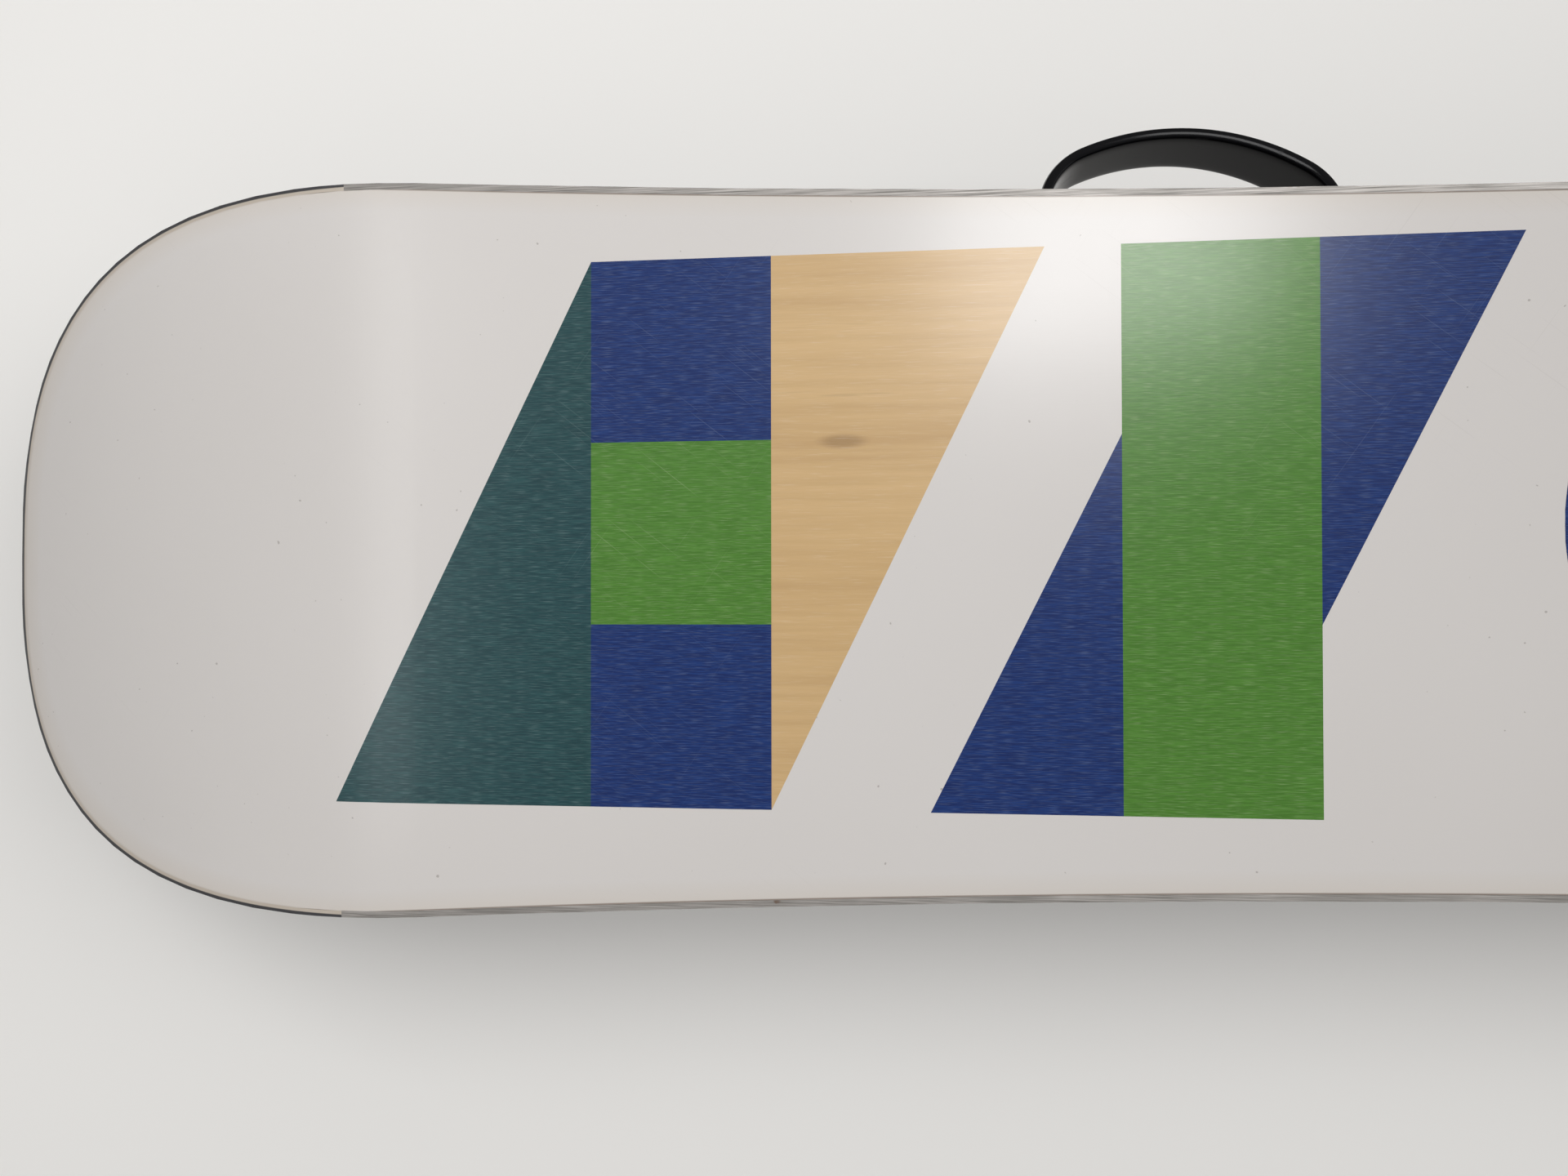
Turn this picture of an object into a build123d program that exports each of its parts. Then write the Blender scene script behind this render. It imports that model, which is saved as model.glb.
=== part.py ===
"""A snowboard with two strap bindings and a stomp pad, stored base up on its folded highbacks.

Every piece is drawn in riding position: X along the board, +Y to the toe edge, +Z up from the
running base, millimetres. put_down() then turns the finished pieces base up, about the X axis,
so that the running base is the plane Z = 0 and the bindings hang below it.

The board is a sandwich: base and inlays, steel edges, lower laminate, core with sidewalls and
tip spacers, upper laminate, topsheet. A binding is drawn in its own frame, with the origin on
the topsheet at the disc's centre, and the front binding is the rear one mirrored.
"""

import math
import os

from build123d import *

# ---- board outline ----
WAIST = 255.0            # width at the middle
SIDECUT_RADIUS = 8900.0  # radius of the concave sides
NOSE_CENTRE = 594.0      # widest point, from the middle
SIDECUT_END = NOSE_CENTRE - 54.0  # where the sidecut arc meets the nose curve
NOSE_LENGTH = 190.0      # widest point to tip
WIDEST = 295.0
NOSE_POWER = 2.6         # exponent of the superellipse that rounds the nose
# ---- board side view ----
KICK_START = NOSE_CENTRE - 19.0   # the base is flat up to here, then curls up
KICK_RADIUS = 480.0
KICK_MARGIN = 40.0       # the curl is drawn this far past the tip, and the outline trims it
FLAT_TOP = NOSE_CENTRE - 174.0    # the topsheet is flat up to here, then thins to the tips
THICKNESS = 8.0
TIP_THICKNESS = 6.0
# ---- board layers ----
BASE_THICKNESS = 1.4
LOWER_LAMINATE = 0.7
UPPER_LAMINATE = 0.6
TOPSHEET = 0.5
EDGE_WIDTH = 2.6
EDGE_END = NOSE_CENTRE + 12.0     # the steel stops here and the tip spacer's rim takes over
FLANGE_REACH = 8.0       # the edge's hidden flange, and the sidewall, reach this far in
FLANGE_THICKNESS = 0.4
CORE_END = NOSE_CENTRE + 6.0      # the wood core stops here and the tip spacers take over
SIDEWALL_INSET = 0.6
TOP_INSET = 2.6          # the topsheet stops short of the sidewall's outer face
# ---- inlaid base panels ----
PANEL = 71.0             # the module: a panel is three high
PANEL_OFFSET = -5.5      # the panels' middle line, along Y
PANEL_MARGIN = 608.5     # outer corner of the slanted end panel, from the middle
STACK_OUTER = 503.5      # outer side of the stack of three squares
SLANT_INNER = 329.0      # inner corner of the clear window
BAR_OUTER = 301.0        # outer side of the upright bar
PILL_END = 147.0
PILL_RADIUS = 106.5
PILL_CLEAR = 13.5        # half width of the clear stripe in the pill
# ---- inserts ----
INSERT_FIRST, INSERT_PITCH, INSERT_COLUMNS, INSERT_ROW = 180.0, 20.0, 8, 20.0
INSERT_CORE_RADIUS, INSERT_BARREL_RADIUS, INSERT_FLANGE_RADIUS = 2.5, 4.5, 8.0
INSERT_FLANGE = 0.8
INSERT_BOTTOM = 1.0      # closed end of the threaded core, above the flange's underside
# ---- stomp pad ----
STOMP_X, STOMP_LENGTH, STOMP_WIDTH, STOMP_CORNER = 105.0, 92.0, 150.0, 20.0
STOMP_ADHESIVE, STOMP_BODY = 1.0, 3.0
STUD_PITCH, STUD_RADIUS, STUD_TOP_RADIUS, STUD_HEIGHT = 22.0, 7.0, 4.0, 4.5
STUD_MARGIN, ADHESIVE_INSET = 2.0, 1.0  # stud to the pad's edge; adhesive inside the pad's edge
# ---- stance ----
STANCE_HALF = 280.0      # disc centre from the middle of the board
STANCE_ANGLE = 6.0       # toes out, degrees
# ---- clearances ----
RUNNING_GAP = 0.05       # radial clearance of a hole that turns on its bolt
FIT_GAP = 0.1            # radial clearance of a fixed bolt
SIDE_GAP = 0.4           # between a turning piece and the face beside it
SLIDE_GAP = 0.15         # between a sliding piece and its guide
# ---- baseplate and disc ----
PLATE_HALF_WIDTH = 56.5
PLATE_HALF_LENGTH = 112.0
PLATE_THICKNESS = 8.0
PLATE_CORNER = 18.0
SIDE_THICKNESS = 5.0
SIDE_HEIGHT, RIM_HEIGHT, TOE_SIDE_HEIGHT = 25.0, 13.0, 28.0
DISC_RADIUS, DISC_BOSS_RADIUS, DISC_SEAT_HEIGHT = 50.0, 45.0, 3.5
DISC_GAP = 0.4
SCREW_RADIUS, SCREW_HEAD_RADIUS, SCREW_HEAD, SCREW_LENGTH = 2.4, 5.5, 2.5, 11.5
SCREW_CROSS, SCREW_CROSS_WIDTH, SCREW_CROSS_DEPTH = 5.0, 1.2, 1.5
# ---- footbed and gas pedal ----
FOOTBED_HALF_WIDTH, FOOTBED_THICKNESS, FOOTBED_FRONT = 48.0, 5.0, 62.0
PEDAL_BACK, PEDAL_FRONT, PEDAL_HALF_WIDTH = 68.0, 114.0, 44.0
PEDAL_LOW, PEDAL_HIGH = 5.0, 9.0
TONGUE_HALF_WIDTH, TONGUE_DEPTH = 7.0, 3.0
PEDAL_TRAVEL = 8.0
# ---- heel loop ----
LOOP_WALL = 5.0
LOOP_REAR = 175.0        # disc centre to the loop's rear face
LOOP_REAR_RADIUS, LOOP_CORNER_RADIUS, LOOP_FRONT = 95.0, 30.0, 18.0
LOOP_LOW, LOOP_TOP = 42.0, 76.0   # the band's two edges at the heel
# ---- bolts: places are along Y and up Z ----
TOE_BOLT = (78.0, 17.0)
ANKLE_BOLT = (-76.0, 36.0)
PIVOT = (-106.0, 40.0)
LOOP_BOLTS = ((-32.0, 16.0), (-62.0, 17.0))
BOLT_RADIUS = 2.5
PIVOT_RADIUS = 3.0
HEAD_RADIUS, HEAD_THICKNESS = 7.0, 2.5
LOOP_HEAD_RADIUS, LOOP_HEAD_THICKNESS = 5.0, 2.0
# ---- highback: lengths along the spine are from the pivot, depths are behind it ----
SPINE_DEPTH = 63.0
SPINE_TOP = 206.0
SPINE_BOTTOM = -4.0
SHELL_WALL = 3.5
SHELL_REAR_RADIUS, SHELL_CORNER_RADIUS = 85.0, 28.0
SHELL_TOP_HALF_WIDTH = 46.0
EAR_RADIUS = 12.0
STOP_GAP = 0.4           # the folded wing's edge to the side wall's stop
LINER, LINER_BOTTOM, LINER_MARGIN = 5.0, 84.0, 6.0
VENT_WIDTH, VENT_HEIGHT, VENT_HALF_SPACING, VENT_PLACE = 9.0, 44.0, 17.0, 148.0
RIDING_LEAN = 9.0        # forward lean of the raised spine, degrees
# ---- forward-lean block ----
BLOCK_BOTTOM, BLOCK_HEIGHT, BLOCK_HALF_WIDTH, BLOCK_THICKNESS = 27.0, 26.0, 12.0, 8.0
BLOCK_TRAVEL = 16.0
BLOCK_NECK_HALF_WIDTH, BLOCK_PLATE_HALF_WIDTH, BLOCK_PLATE = 3.5, 8.0, 2.0
# ---- straps ----
TAB_THICKNESS, TAB_RADIUS = 3.0, 9.0
ANKLE_TILT = 15.0        # the open straps lie forward, at this angle above the topsheet
ANKLE_LENGTH, ANKLE_PAD, ANKLE_HALF_WIDTH = 140.0, 9.0, 27.0
ANKLE_BEND_START, ANKLE_BEND_RADIUS = 25.0, 400.0
PAD_START, PAD_CORNER = 34.0, 16.0
BUCKLE_PLACE = 112.0     # buckle centre along the ankle strap
LADDER_HALF_WIDTH, LADDER_LENGTH, TOOTH_HALF_WIDTH = 11.0, 168.0, 8.0
TOOTH_START, TOOTH_PITCH, TOOTH_HEIGHT = 60.0, 3.4, 1.2
TOE_TILT = 68.0          # the closed toe strap's plane, above the topsheet
TOE_REACH, TOE_PAD, TOE_HALF_WIDTH = 70.0, 5.0, 19.0
TOE_APEX_RADIUS, TOE_CORNER_RADIUS = 95.0, 28.0
TOE_CAP_START, TOE_PAD_START, TOE_BUCKLE_PLACE, TOE_LADDER_LENGTH = 20.0, 27.0, 36.0, 62.0
TOE_TOOTH_START = 18.0
# ---- ratchet buckle: lengths are along the strap from its middle, heights above the strap ----
BUCKLE_HALF_LENGTH, BUCKLE_HALF_WIDTH, BUCKLE_FLOOR = 20.0, 14.5, 1.5
CHEEK, CHEEK_HEIGHT = 2.0, 12.0
LEVER_AXLE, RELEASE_AXLE = (-10.0, 10.2), (9.0, 8.6)
AXLE_RADIUS = 1.5
LEVER_HUB, RELEASE_HUB = 4.0, 2.6
LEVER_TIP, LEVER_THICKNESS = 27.0, 2.6
BUCKLE_SIDE_GAP = 0.3

BIG = 900.0
PIECES = {}


def side_view(points, half_width=BIG):
    """A (y, z) polygon, extruded along X to both sides of the middle."""
    face = make_face(Polyline(*[(0, y, z) for y, z in points], close=True))
    return extrude(face, half_width, dir=(1, 0, 0), both=True)


def plan(points, low=-BIG, high=BIG):
    """An (x, y) polygon, extruded along Z."""
    face = make_face(Polyline(*[(x, y, low) for x, y in points], close=True))
    return extrude(face, high - low, dir=(0, 0, 1))


def block(x0, x1, y0, y1, z0, z1):
    """A box from its two corners."""
    middle = ((x0 + x1) / 2, (y0 + y1) / 2, (z0 + z1) / 2)
    return Pos(*middle) * Box(abs(x1 - x0), abs(y1 - y0), abs(z1 - z0))


def bar(x0, x1, radius, y, z):
    """A round bar along X."""
    return Pos((x0 + x1) / 2, y, z) * Rot(0, 90, 0) * Cylinder(radius, abs(x1 - x0))


def post(radius, x, y, z0, z1):
    """A round bar along Z."""
    return Pos(x, y, (z0 + z1) / 2) * Cylinder(radius, z1 - z0)


def both_sides(shape):
    """The shape and its mirror image across the YZ plane."""
    return [shape, mirror(shape, about=Plane.YZ)]


def u_plate(half, apex, apex_radius, corner_radius, opening, low, high):
    """A plate with straight sides, rounded corners and a gently curved end at y = -apex."""
    across = half - corner_radius
    centre = apex_radius - apex
    corner = centre - math.sqrt((apex_radius - corner_radius) ** 2 - across ** 2)
    reach = apex_radius / (apex_radius - corner_radius)
    join = (across * reach, centre - (centre - corner) * reach)
    turn = math.atan2(centre - corner, across) / 2
    mid = (across + corner_radius * math.cos(turn), corner - corner_radius * math.sin(turn))
    edges = [Line((half, opening), (half, corner)),
             ThreePointArc((half, corner), mid, join),
             ThreePointArc(join, (0, -apex), (-join[0], join[1])),
             ThreePointArc((-join[0], join[1]), (-mid[0], mid[1]), (-half, corner)),
             Line((-half, corner), (-half, opening)),
             Line((-half, opening), (half, opening))]
    return Pos(0, 0, low) * extrude(make_face(Wire.combine(edges)[0]), high - low)


def u_band(half, apex, apex_radius, corner_radius, wall, opening, low, high):
    """The wall of a u_plate, open at y = opening."""
    outer = u_plate(half, apex, apex_radius, corner_radius, opening, low, high)
    inner = u_plate(half - wall, apex - wall, apex_radius - wall, corner_radius - wall,
                    opening + wall, low - 1, high + 1)
    return outer - inner


# ---------------------------------------------------------------- board


def outline(inset):
    """The board's plan, its sides moved in by inset: sidecut arcs and superellipse ends."""
    def side(x):
        return WAIST / 2 + SIDECUT_RADIUS - math.sqrt((SIDECUT_RADIUS + inset) ** 2 - x * x)

    a, b = NOSE_LENGTH - inset, WIDEST / 2 - inset
    turns = [math.radians(t) for t in (84, 72, 60, 48, 36, 24, 12)]
    nose = [(NOSE_CENTRE + a * math.cos(t) ** (2 / NOSE_POWER),
             b * math.sin(t) ** (2 / NOSE_POWER)) for t in turns]
    join, slope = side(SIDECUT_END), SIDECUT_END / SIDECUT_RADIUS
    edges = []
    for sx in (1, -1):
        for sy in (1, -1):
            path = [(sx * SIDECUT_END, sy * join)] + [(sx * x, sy * y) for x, y in nose]
            path.append((sx * (NOSE_CENTRE + a), 0))
            edges.append(Spline(*path, tangents=[(sx, sy * slope), (0, -sy)]))
    for sy in (1, -1):
        edges.append(ThreePointArc((-SIDECUT_END, sy * join), (0, sy * side(0)),
                                   (SIDECUT_END, sy * join)))
    face = make_face(Wire.combine(edges)[0])
    return Pos(0, 0, -BIG) * extrude(face, 2 * BIG, dir=(0, 0, 1))


def long_curve(flat_end, flat_height, tip_height):
    """One lengthwise line of the side view, left to right, as edges in the XZ plane."""
    radius = KICK_RADIUS - tip_height
    reach = NOSE_CENTRE + NOSE_LENGTH + KICK_MARGIN - KICK_START
    curl = math.degrees(math.asin(reach / (KICK_RADIUS - TIP_THICKNESS)))

    def on_kick(degrees):
        angle = math.radians(degrees)
        return KICK_START + radius * math.sin(angle), KICK_RADIUS - radius * math.cos(angle)

    end, middle = on_kick(curl), on_kick(curl / 2)
    knots = [(-KICK_START, tip_height), (-flat_end, flat_height),
             (flat_end, flat_height), (KICK_START, tip_height)]
    if flat_end == KICK_START:
        knots = [knots[0], knots[3]]
    edges = [ThreePointArc((-end[0], 0, end[1]), (-middle[0], 0, middle[1]),
                           (-KICK_START, 0, tip_height))]
    for first, second in zip(knots, knots[1:]):
        edges.append(Line((first[0], 0, first[1]), (second[0], 0, second[1])))
    edges.append(ThreePointArc((KICK_START, 0, tip_height), (middle[0], 0, middle[1]),
                               (end[0], 0, end[1])))
    return edges


def from_base(height):
    """A lengthwise line at a constant height over the running base."""
    return long_curve(KICK_START, height, height)


def from_top(depth):
    """A lengthwise line at a constant depth under the topsheet, which thins to the tips."""
    return long_curve(FLAT_TOP, THICKNESS - depth, TIP_THICKNESS - depth)


def layer(lower, upper):
    """The slab between two lengthwise lines, wider than the board."""
    ends = [Line(lower[0] @ 0, upper[0] @ 0), Line(lower[-1] @ 1, upper[-1] @ 1)]
    face = make_face(Wire.combine(lower + upper + ends)[0])
    return extrude(face, WIDEST, dir=(0, 1, 0), both=True)


def ends_only(shape, start):
    """What lies further than start from the middle."""
    return shape - block(-start, start, -BIG, BIG, -BIG, BIG)


def middle_only(shape, end):
    """What lies within end of the middle."""
    return shape & block(-end, end, -BIG, BIG, -BIG, BIG)


def insert_places():
    """The plan places of all threaded inserts."""
    return [(side * (INSERT_FIRST + INSERT_PITCH * i), row) for side in (-1, 1)
            for i in range(INSERT_COLUMNS) for row in (-INSERT_ROW, INSERT_ROW)]


def half_disc(x):
    """The rounded end of the pill, its flat side at x."""
    arc = ThreePointArc((x, -PILL_RADIUS), (x - PILL_RADIUS, 0), (x, PILL_RADIUS))
    face = make_face(Wire.combine([arc, Line((x, PILL_RADIUS), (x, -PILL_RADIUS))])[0])
    return Pos(0, 0, -BIG) * extrude(face, 2 * BIG, dir=(0, 0, 1))


def inlay_columns():
    """The base panels as tall columns: for each colour, half of them, the rest turned about Z."""
    top = 1.5 * PANEL
    stack_inner, bar_inner = STACK_OUTER - PANEL, BAR_OUTER - PANEL
    pill_flat = PILL_END - PILL_RADIUS

    def upright(outer, inner, y0, y1):
        return plan([(-outer, y0), (-inner, y0), (-inner, y1), (-outer, y1)])

    return {
        "base_inlay_teal": [
            plan([(-PANEL_MARGIN, top), (-STACK_OUTER, -top), (-STACK_OUTER, top)]),
            upright(pill_flat, PILL_CLEAR, -PILL_RADIUS, PILL_RADIUS)],
        "base_inlay_blue": [
            upright(STACK_OUTER, stack_inner, -top, -top + PANEL),
            upright(STACK_OUTER, stack_inner, top - PANEL, top),
            plan([(-BAR_OUTER, top), (-BAR_OUTER - PANEL, top), (-BAR_OUTER, top - 2 * PANEL)]),
            plan([(-bar_inner, -top), (PANEL - bar_inner, -top), (-bar_inner, 2 * PANEL - top)]),
            half_disc(-pill_flat)],
        "base_inlay_green": [
            upright(STACK_OUTER, stack_inner, -PANEL / 2, PANEL / 2),
            upright(BAR_OUTER, bar_inner, -top, top)],
        "base_window": [
            plan([(-stack_inner, -top), (-SLANT_INNER, -top), (-stack_inner, top)]),
            upright(PILL_CLEAR, 0, -PILL_RADIUS, PILL_RADIUS)],
    }


def make_board():
    """All the layers of the board."""
    laminate_top = BASE_THICKNESS + LOWER_LAMINATE
    core_depth = TOPSHEET + UPPER_LAMINATE
    rim_inner = outline(EDGE_WIDTH)
    core_inner = outline(FLANGE_REACH)
    whole = outline(0)
    top_plan = outline(TOP_INSET)

    slab = layer(from_base(0), from_base(BASE_THICKNESS)) & rim_inner
    base = slab
    for name, half in inlay_columns().items():
        columns = [Pos(0, PANEL_OFFSET) * turned for shape in half
                   for turned in (shape, Rot(0, 0, 180) * shape)]
        PIECES[name] = [slab & one for one in columns]
        for one in columns:
            base -= one
    PIECES["base_sheet"] = base

    flange_bottom = laminate_top - FLANGE_THICKNESS
    flange = layer(from_base(flange_bottom), from_base(laminate_top)) & (rim_inner - core_inner)
    flange = middle_only(flange, EDGE_END)
    steel = layer(from_base(0), from_base(laminate_top)) & (whole - rim_inner)
    PIECES["steel_edges"] = middle_only(steel, EDGE_END) + flange
    rim = ends_only(steel, EDGE_END)
    laminate = layer(from_base(BASE_THICKNESS), from_base(laminate_top)) & rim_inner
    PIECES["lower_laminate"] = laminate - flange

    middle = layer(from_base(laminate_top), from_top(core_depth))
    PIECES["tip_spacers"] = ends_only(middle & whole, CORE_END) + rim
    wall = (middle & outline(SIDEWALL_INSET)) - core_inner
    PIECES["sidewalls"] = middle_only(wall, CORE_END)
    core = middle_only(middle & core_inner, CORE_END)
    upper = layer(from_top(core_depth), from_top(TOPSHEET)) & top_plan
    top = layer(from_top(TOPSHEET), from_top(0)) & top_plan

    inserts = []
    for x, y in insert_places():
        barrel = post(INSERT_BARREL_RADIUS, x, y, laminate_top, THICKNESS)
        flange = post(INSERT_FLANGE_RADIUS, x, y, laminate_top, laminate_top + INSERT_FLANGE)
        thread = post(INSERT_CORE_RADIUS, x, y, laminate_top + INSERT_BOTTOM, THICKNESS + 1)
        inserts.append(barrel + flange - thread)
        core -= barrel + flange
        upper -= barrel
        top -= barrel
    PIECES["wood_core"] = core
    PIECES["upper_laminate"] = upper
    PIECES["topsheet"] = top
    PIECES["threaded_inserts"] = inserts


def make_stomp_pad():
    """A studded rubber pad on its adhesive sheet, stuck between the bindings."""
    def mat(inset, low, high):
        shape = Box(STOMP_LENGTH - 2 * inset, STOMP_WIDTH - 2 * inset, high - low)
        shape = fillet(shape.edges().filter_by(Axis.Z), STOMP_CORNER - inset)
        return Pos(STOMP_X, 0, (low + high) / 2) * shape

    under = THICKNESS + STOMP_ADHESIVE
    PIECES["stomp_pad_adhesive"] = mat(ADHESIVE_INSET, THICKNESS, under)
    pad = mat(0, under, under + STOMP_BODY)
    columns = int((STOMP_LENGTH / 2 - STUD_RADIUS - STUD_MARGIN) // STUD_PITCH)
    rows = int((STOMP_WIDTH / 2 - STUD_RADIUS - STUD_MARGIN) // STUD_PITCH)
    for i in range(-columns, columns + 1):
        for j in range(-rows, rows + 1):
            if abs(i) == columns and abs(j) == rows:
                continue
            stud = Cone(STUD_RADIUS, STUD_TOP_RADIUS, STUD_HEIGHT)
            pad += Pos(STOMP_X + i * STUD_PITCH, j * STUD_PITCH,
                       under + STOMP_BODY + STUD_HEIGHT / 2) * stud
    PIECES["stomp_pad"] = pad


# ---------------------------------------------------------------- binding


def fold_tilt():
    """Degrees by which the folded spine slopes, so that block and spine top share one level."""
    run = SPINE_TOP - (BLOCK_BOTTOM + BLOCK_HEIGHT)
    return math.degrees(math.atan2(BLOCK_THICKNESS, run))


def make_baseplate():
    """The moulded plate: floor with a disc seat, side walls with bolt holes, low heel rim."""
    length, width = 2 * PLATE_HALF_LENGTH, 2 * PLATE_HALF_WIDTH

    def tray(inset, low, high):
        shape = Box(width - 2 * inset, length - 2 * inset, high - low)
        shape = fillet(shape.edges().filter_by(Axis.Z), PLATE_CORNER - inset)
        return Pos(0, 0, (low + high) / 2) * shape

    floor = tray(0, 0, PLATE_THICKNESS)
    floor -= post(DISC_BOSS_RADIUS + DISC_GAP, 0, 0, -1, PLATE_THICKNESS + 1)
    floor -= post(DISC_RADIUS + DISC_GAP, 0, 0, DISC_SEAT_HEIGHT, PLATE_THICKNESS + 1)
    floor -= block(-TONGUE_HALF_WIDTH - SLIDE_GAP, TONGUE_HALF_WIDTH + SLIDE_GAP,
                   PEDAL_BACK, BIG, PLATE_THICKNESS - TONGUE_DEPTH - SLIDE_GAP, BIG)
    walls = tray(0, PLATE_THICKNESS, BIG) - tray(SIDE_THICKNESS, 0, BIG + 1)
    stop = PIVOT[1] - EAR_RADIUS * math.cos(math.radians(fold_tilt())) - STOP_GAP
    back, clear = -PLATE_HALF_LENGTH, PIVOT[0] + EAR_RADIUS + 3
    walls &= side_view([
        (back, 0), (back, RIM_HEIGHT), (back + 12, SIDE_HEIGHT), (clear, SIDE_HEIGHT),
        (clear + 2, stop), (clear + 14, stop), (clear + 22, SIDE_HEIGHT), (30, SIDE_HEIGHT - 3),
        (TOE_BOLT[0] - 14, TOE_SIDE_HEIGHT), (TOE_BOLT[0] + 10, TOE_SIDE_HEIGHT),
        (PLATE_HALF_LENGTH - 4, PLATE_THICKNESS + 2), (PLATE_HALF_LENGTH - 4, 0)])
    walls -= block(-FOOTBED_HALF_WIDTH, FOOTBED_HALF_WIDTH, 0, BIG, 0, BIG)
    plate = floor + walls
    for side in (-1, 1):
        inner, outer = side * (PLATE_HALF_WIDTH - SIDE_THICKNESS - 1), side * (PLATE_HALF_WIDTH + 1)
        for place in LOOP_BOLTS + (TOE_BOLT,):
            plate -= bar(inner, outer, BOLT_RADIUS + FIT_GAP, *place)
    return plate


def make_disc():
    """The mounting disc, with four counterbored holes on the insert pattern, and its screws."""
    disc = post(DISC_BOSS_RADIUS, 0, 0, 0, PLATE_THICKNESS)
    disc += post(DISC_RADIUS, 0, 0, DISC_SEAT_HEIGHT, PLATE_THICKNESS)
    screws = []
    for x in (-INSERT_PITCH, INSERT_PITCH):
        for y in (-INSERT_ROW, INSERT_ROW):
            seat = PLATE_THICKNESS - SCREW_HEAD
            disc -= post(SCREW_RADIUS + 2 * FIT_GAP, x, y, -1, PLATE_THICKNESS)
            disc -= post(SCREW_HEAD_RADIUS + 2 * FIT_GAP, x, y, seat, PLATE_THICKNESS + 1)
            screw = post(SCREW_RADIUS, x, y, PLATE_THICKNESS - SCREW_LENGTH, seat)
            screw += post(SCREW_HEAD_RADIUS, x, y, seat, PLATE_THICKNESS)
            cross = Box(SCREW_CROSS, SCREW_CROSS_WIDTH, 2 * SCREW_CROSS_DEPTH)
            cross += Box(SCREW_CROSS_WIDTH, SCREW_CROSS, 2 * SCREW_CROSS_DEPTH)
            screws.append(screw - Pos(x, y, PLATE_THICKNESS) * cross)
    return disc, screws


def make_footbed():
    """The foam bed between the side walls."""
    back = -PLATE_HALF_LENGTH + SIDE_THICKNESS + 1
    bed = block(-FOOTBED_HALF_WIDTH, FOOTBED_HALF_WIDTH, back, FOOTBED_FRONT,
                PLATE_THICKNESS, PLATE_THICKNESS + FOOTBED_THICKNESS)
    return fillet(bed.edges().filter_by(Axis.Z), PLATE_CORNER - SIDE_THICKNESS)


def make_pedal():
    """The toe ramp, which slides forward on a tongue in the plate's groove."""
    low = PLATE_THICKNESS + SLIDE_GAP
    ramp = side_view([
        (PEDAL_BACK, low), (PEDAL_BACK, low + PEDAL_LOW), (PEDAL_FRONT - 8, low + PEDAL_HIGH),
        (PEDAL_FRONT, low + PEDAL_HIGH - 4), (PEDAL_FRONT, low)], PEDAL_HALF_WIDTH)
    ramp = fillet(ramp.edges().filter_by(Axis.Z).group_by(Axis.Y)[-1], 2.5)
    tongue = block(-TONGUE_HALF_WIDTH, TONGUE_HALF_WIDTH, PEDAL_BACK + 4, PEDAL_FRONT - 6,
                   PLATE_THICKNESS - TONGUE_DEPTH, low + 1)
    return ramp + tongue


def make_loop():
    """The heel loop: a band round the heel whose legs run forward along the side walls."""
    band = u_band(PLATE_HALF_WIDTH + LOOP_WALL, LOOP_REAR, LOOP_REAR_RADIUS,
                  LOOP_CORNER_RADIUS, LOOP_WALL, -LOOP_FRONT, 0, LOOP_TOP + 1)
    rear = -LOOP_REAR - 1
    profile = make_face(Polyline(*[(0, y, z) for y, z in (
        (-LOOP_FRONT, 6), (PIVOT[0] + 24, 6), (PIVOT[0] - 12, LOOP_LOW - 14), (rear, LOOP_LOW),
        (rear, LOOP_TOP), (PIVOT[0] - 22, LOOP_TOP - 8), (PIVOT[0] + 18, ANKLE_BOLT[1] + 18),
        (LOOP_BOLTS[1][0] + 10, 32), (-LOOP_FRONT, 25))], close=True))
    rounded = profile.vertices().filter_by(lambda v: v.Y > rear + 1)
    profile = fillet(rounded, 7)
    band &= extrude(profile, BIG, dir=(1, 0, 0), both=True)
    for side in (-1, 1):
        inner, outer = side * (PLATE_HALF_WIDTH - 1), side * (PLATE_HALF_WIDTH + LOOP_WALL + 1)
        for place in LOOP_BOLTS + (ANKLE_BOLT,):
            band -= bar(inner, outer, BOLT_RADIUS + FIT_GAP, *place)
        band -= bar(inner, outer, PIVOT_RADIUS + FIT_GAP, *PIVOT)
    return band


def make_loop_bolts():
    """Two bolts a side, from inside the plate's wall into the loop's leg."""
    inside = PLATE_HALF_WIDTH - SIDE_THICKNESS
    bolts = []
    for place in LOOP_BOLTS:
        bolt = bar(inside, PLATE_HALF_WIDTH + LOOP_WALL - 0.5, BOLT_RADIUS, *place)
        bolt += bar(inside - LOOP_HEAD_THICKNESS, inside, LOOP_HEAD_RADIUS, *place)
        bolts += both_sides(bolt)
    return bolts


def make_pivot_bolts():
    """The two bolts that the highback turns on, with a head at each end."""
    loop_face = PLATE_HALF_WIDTH + LOOP_WALL
    ear_face = PLATE_HALF_WIDTH - 2 * SIDE_GAP - SHELL_WALL
    bolt = bar(ear_face - HEAD_THICKNESS, loop_face, PIVOT_RADIUS, *PIVOT)
    bolt += bar(loop_face, loop_face + HEAD_THICKNESS, HEAD_RADIUS, *PIVOT)
    bolt += bar(ear_face - HEAD_THICKNESS, ear_face, HEAD_RADIUS - 1, *PIVOT)
    return both_sides(bolt)


def strap_bolt(inner, shoulder, tab, place):
    """A bolt from inner out to a tab that starts at x = tab, with a shoulder to space it."""
    head = tab + TAB_THICKNESS + SIDE_GAP
    bolt = bar(inner, head, BOLT_RADIUS, *place)
    bolt += bar(head, head + HEAD_THICKNESS, HEAD_RADIUS, *place)
    if tab - SIDE_GAP > shoulder:
        bolt += bar(shoulder, tab - SIDE_GAP, 2 * BOLT_RADIUS, *place)
    return bolt


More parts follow.
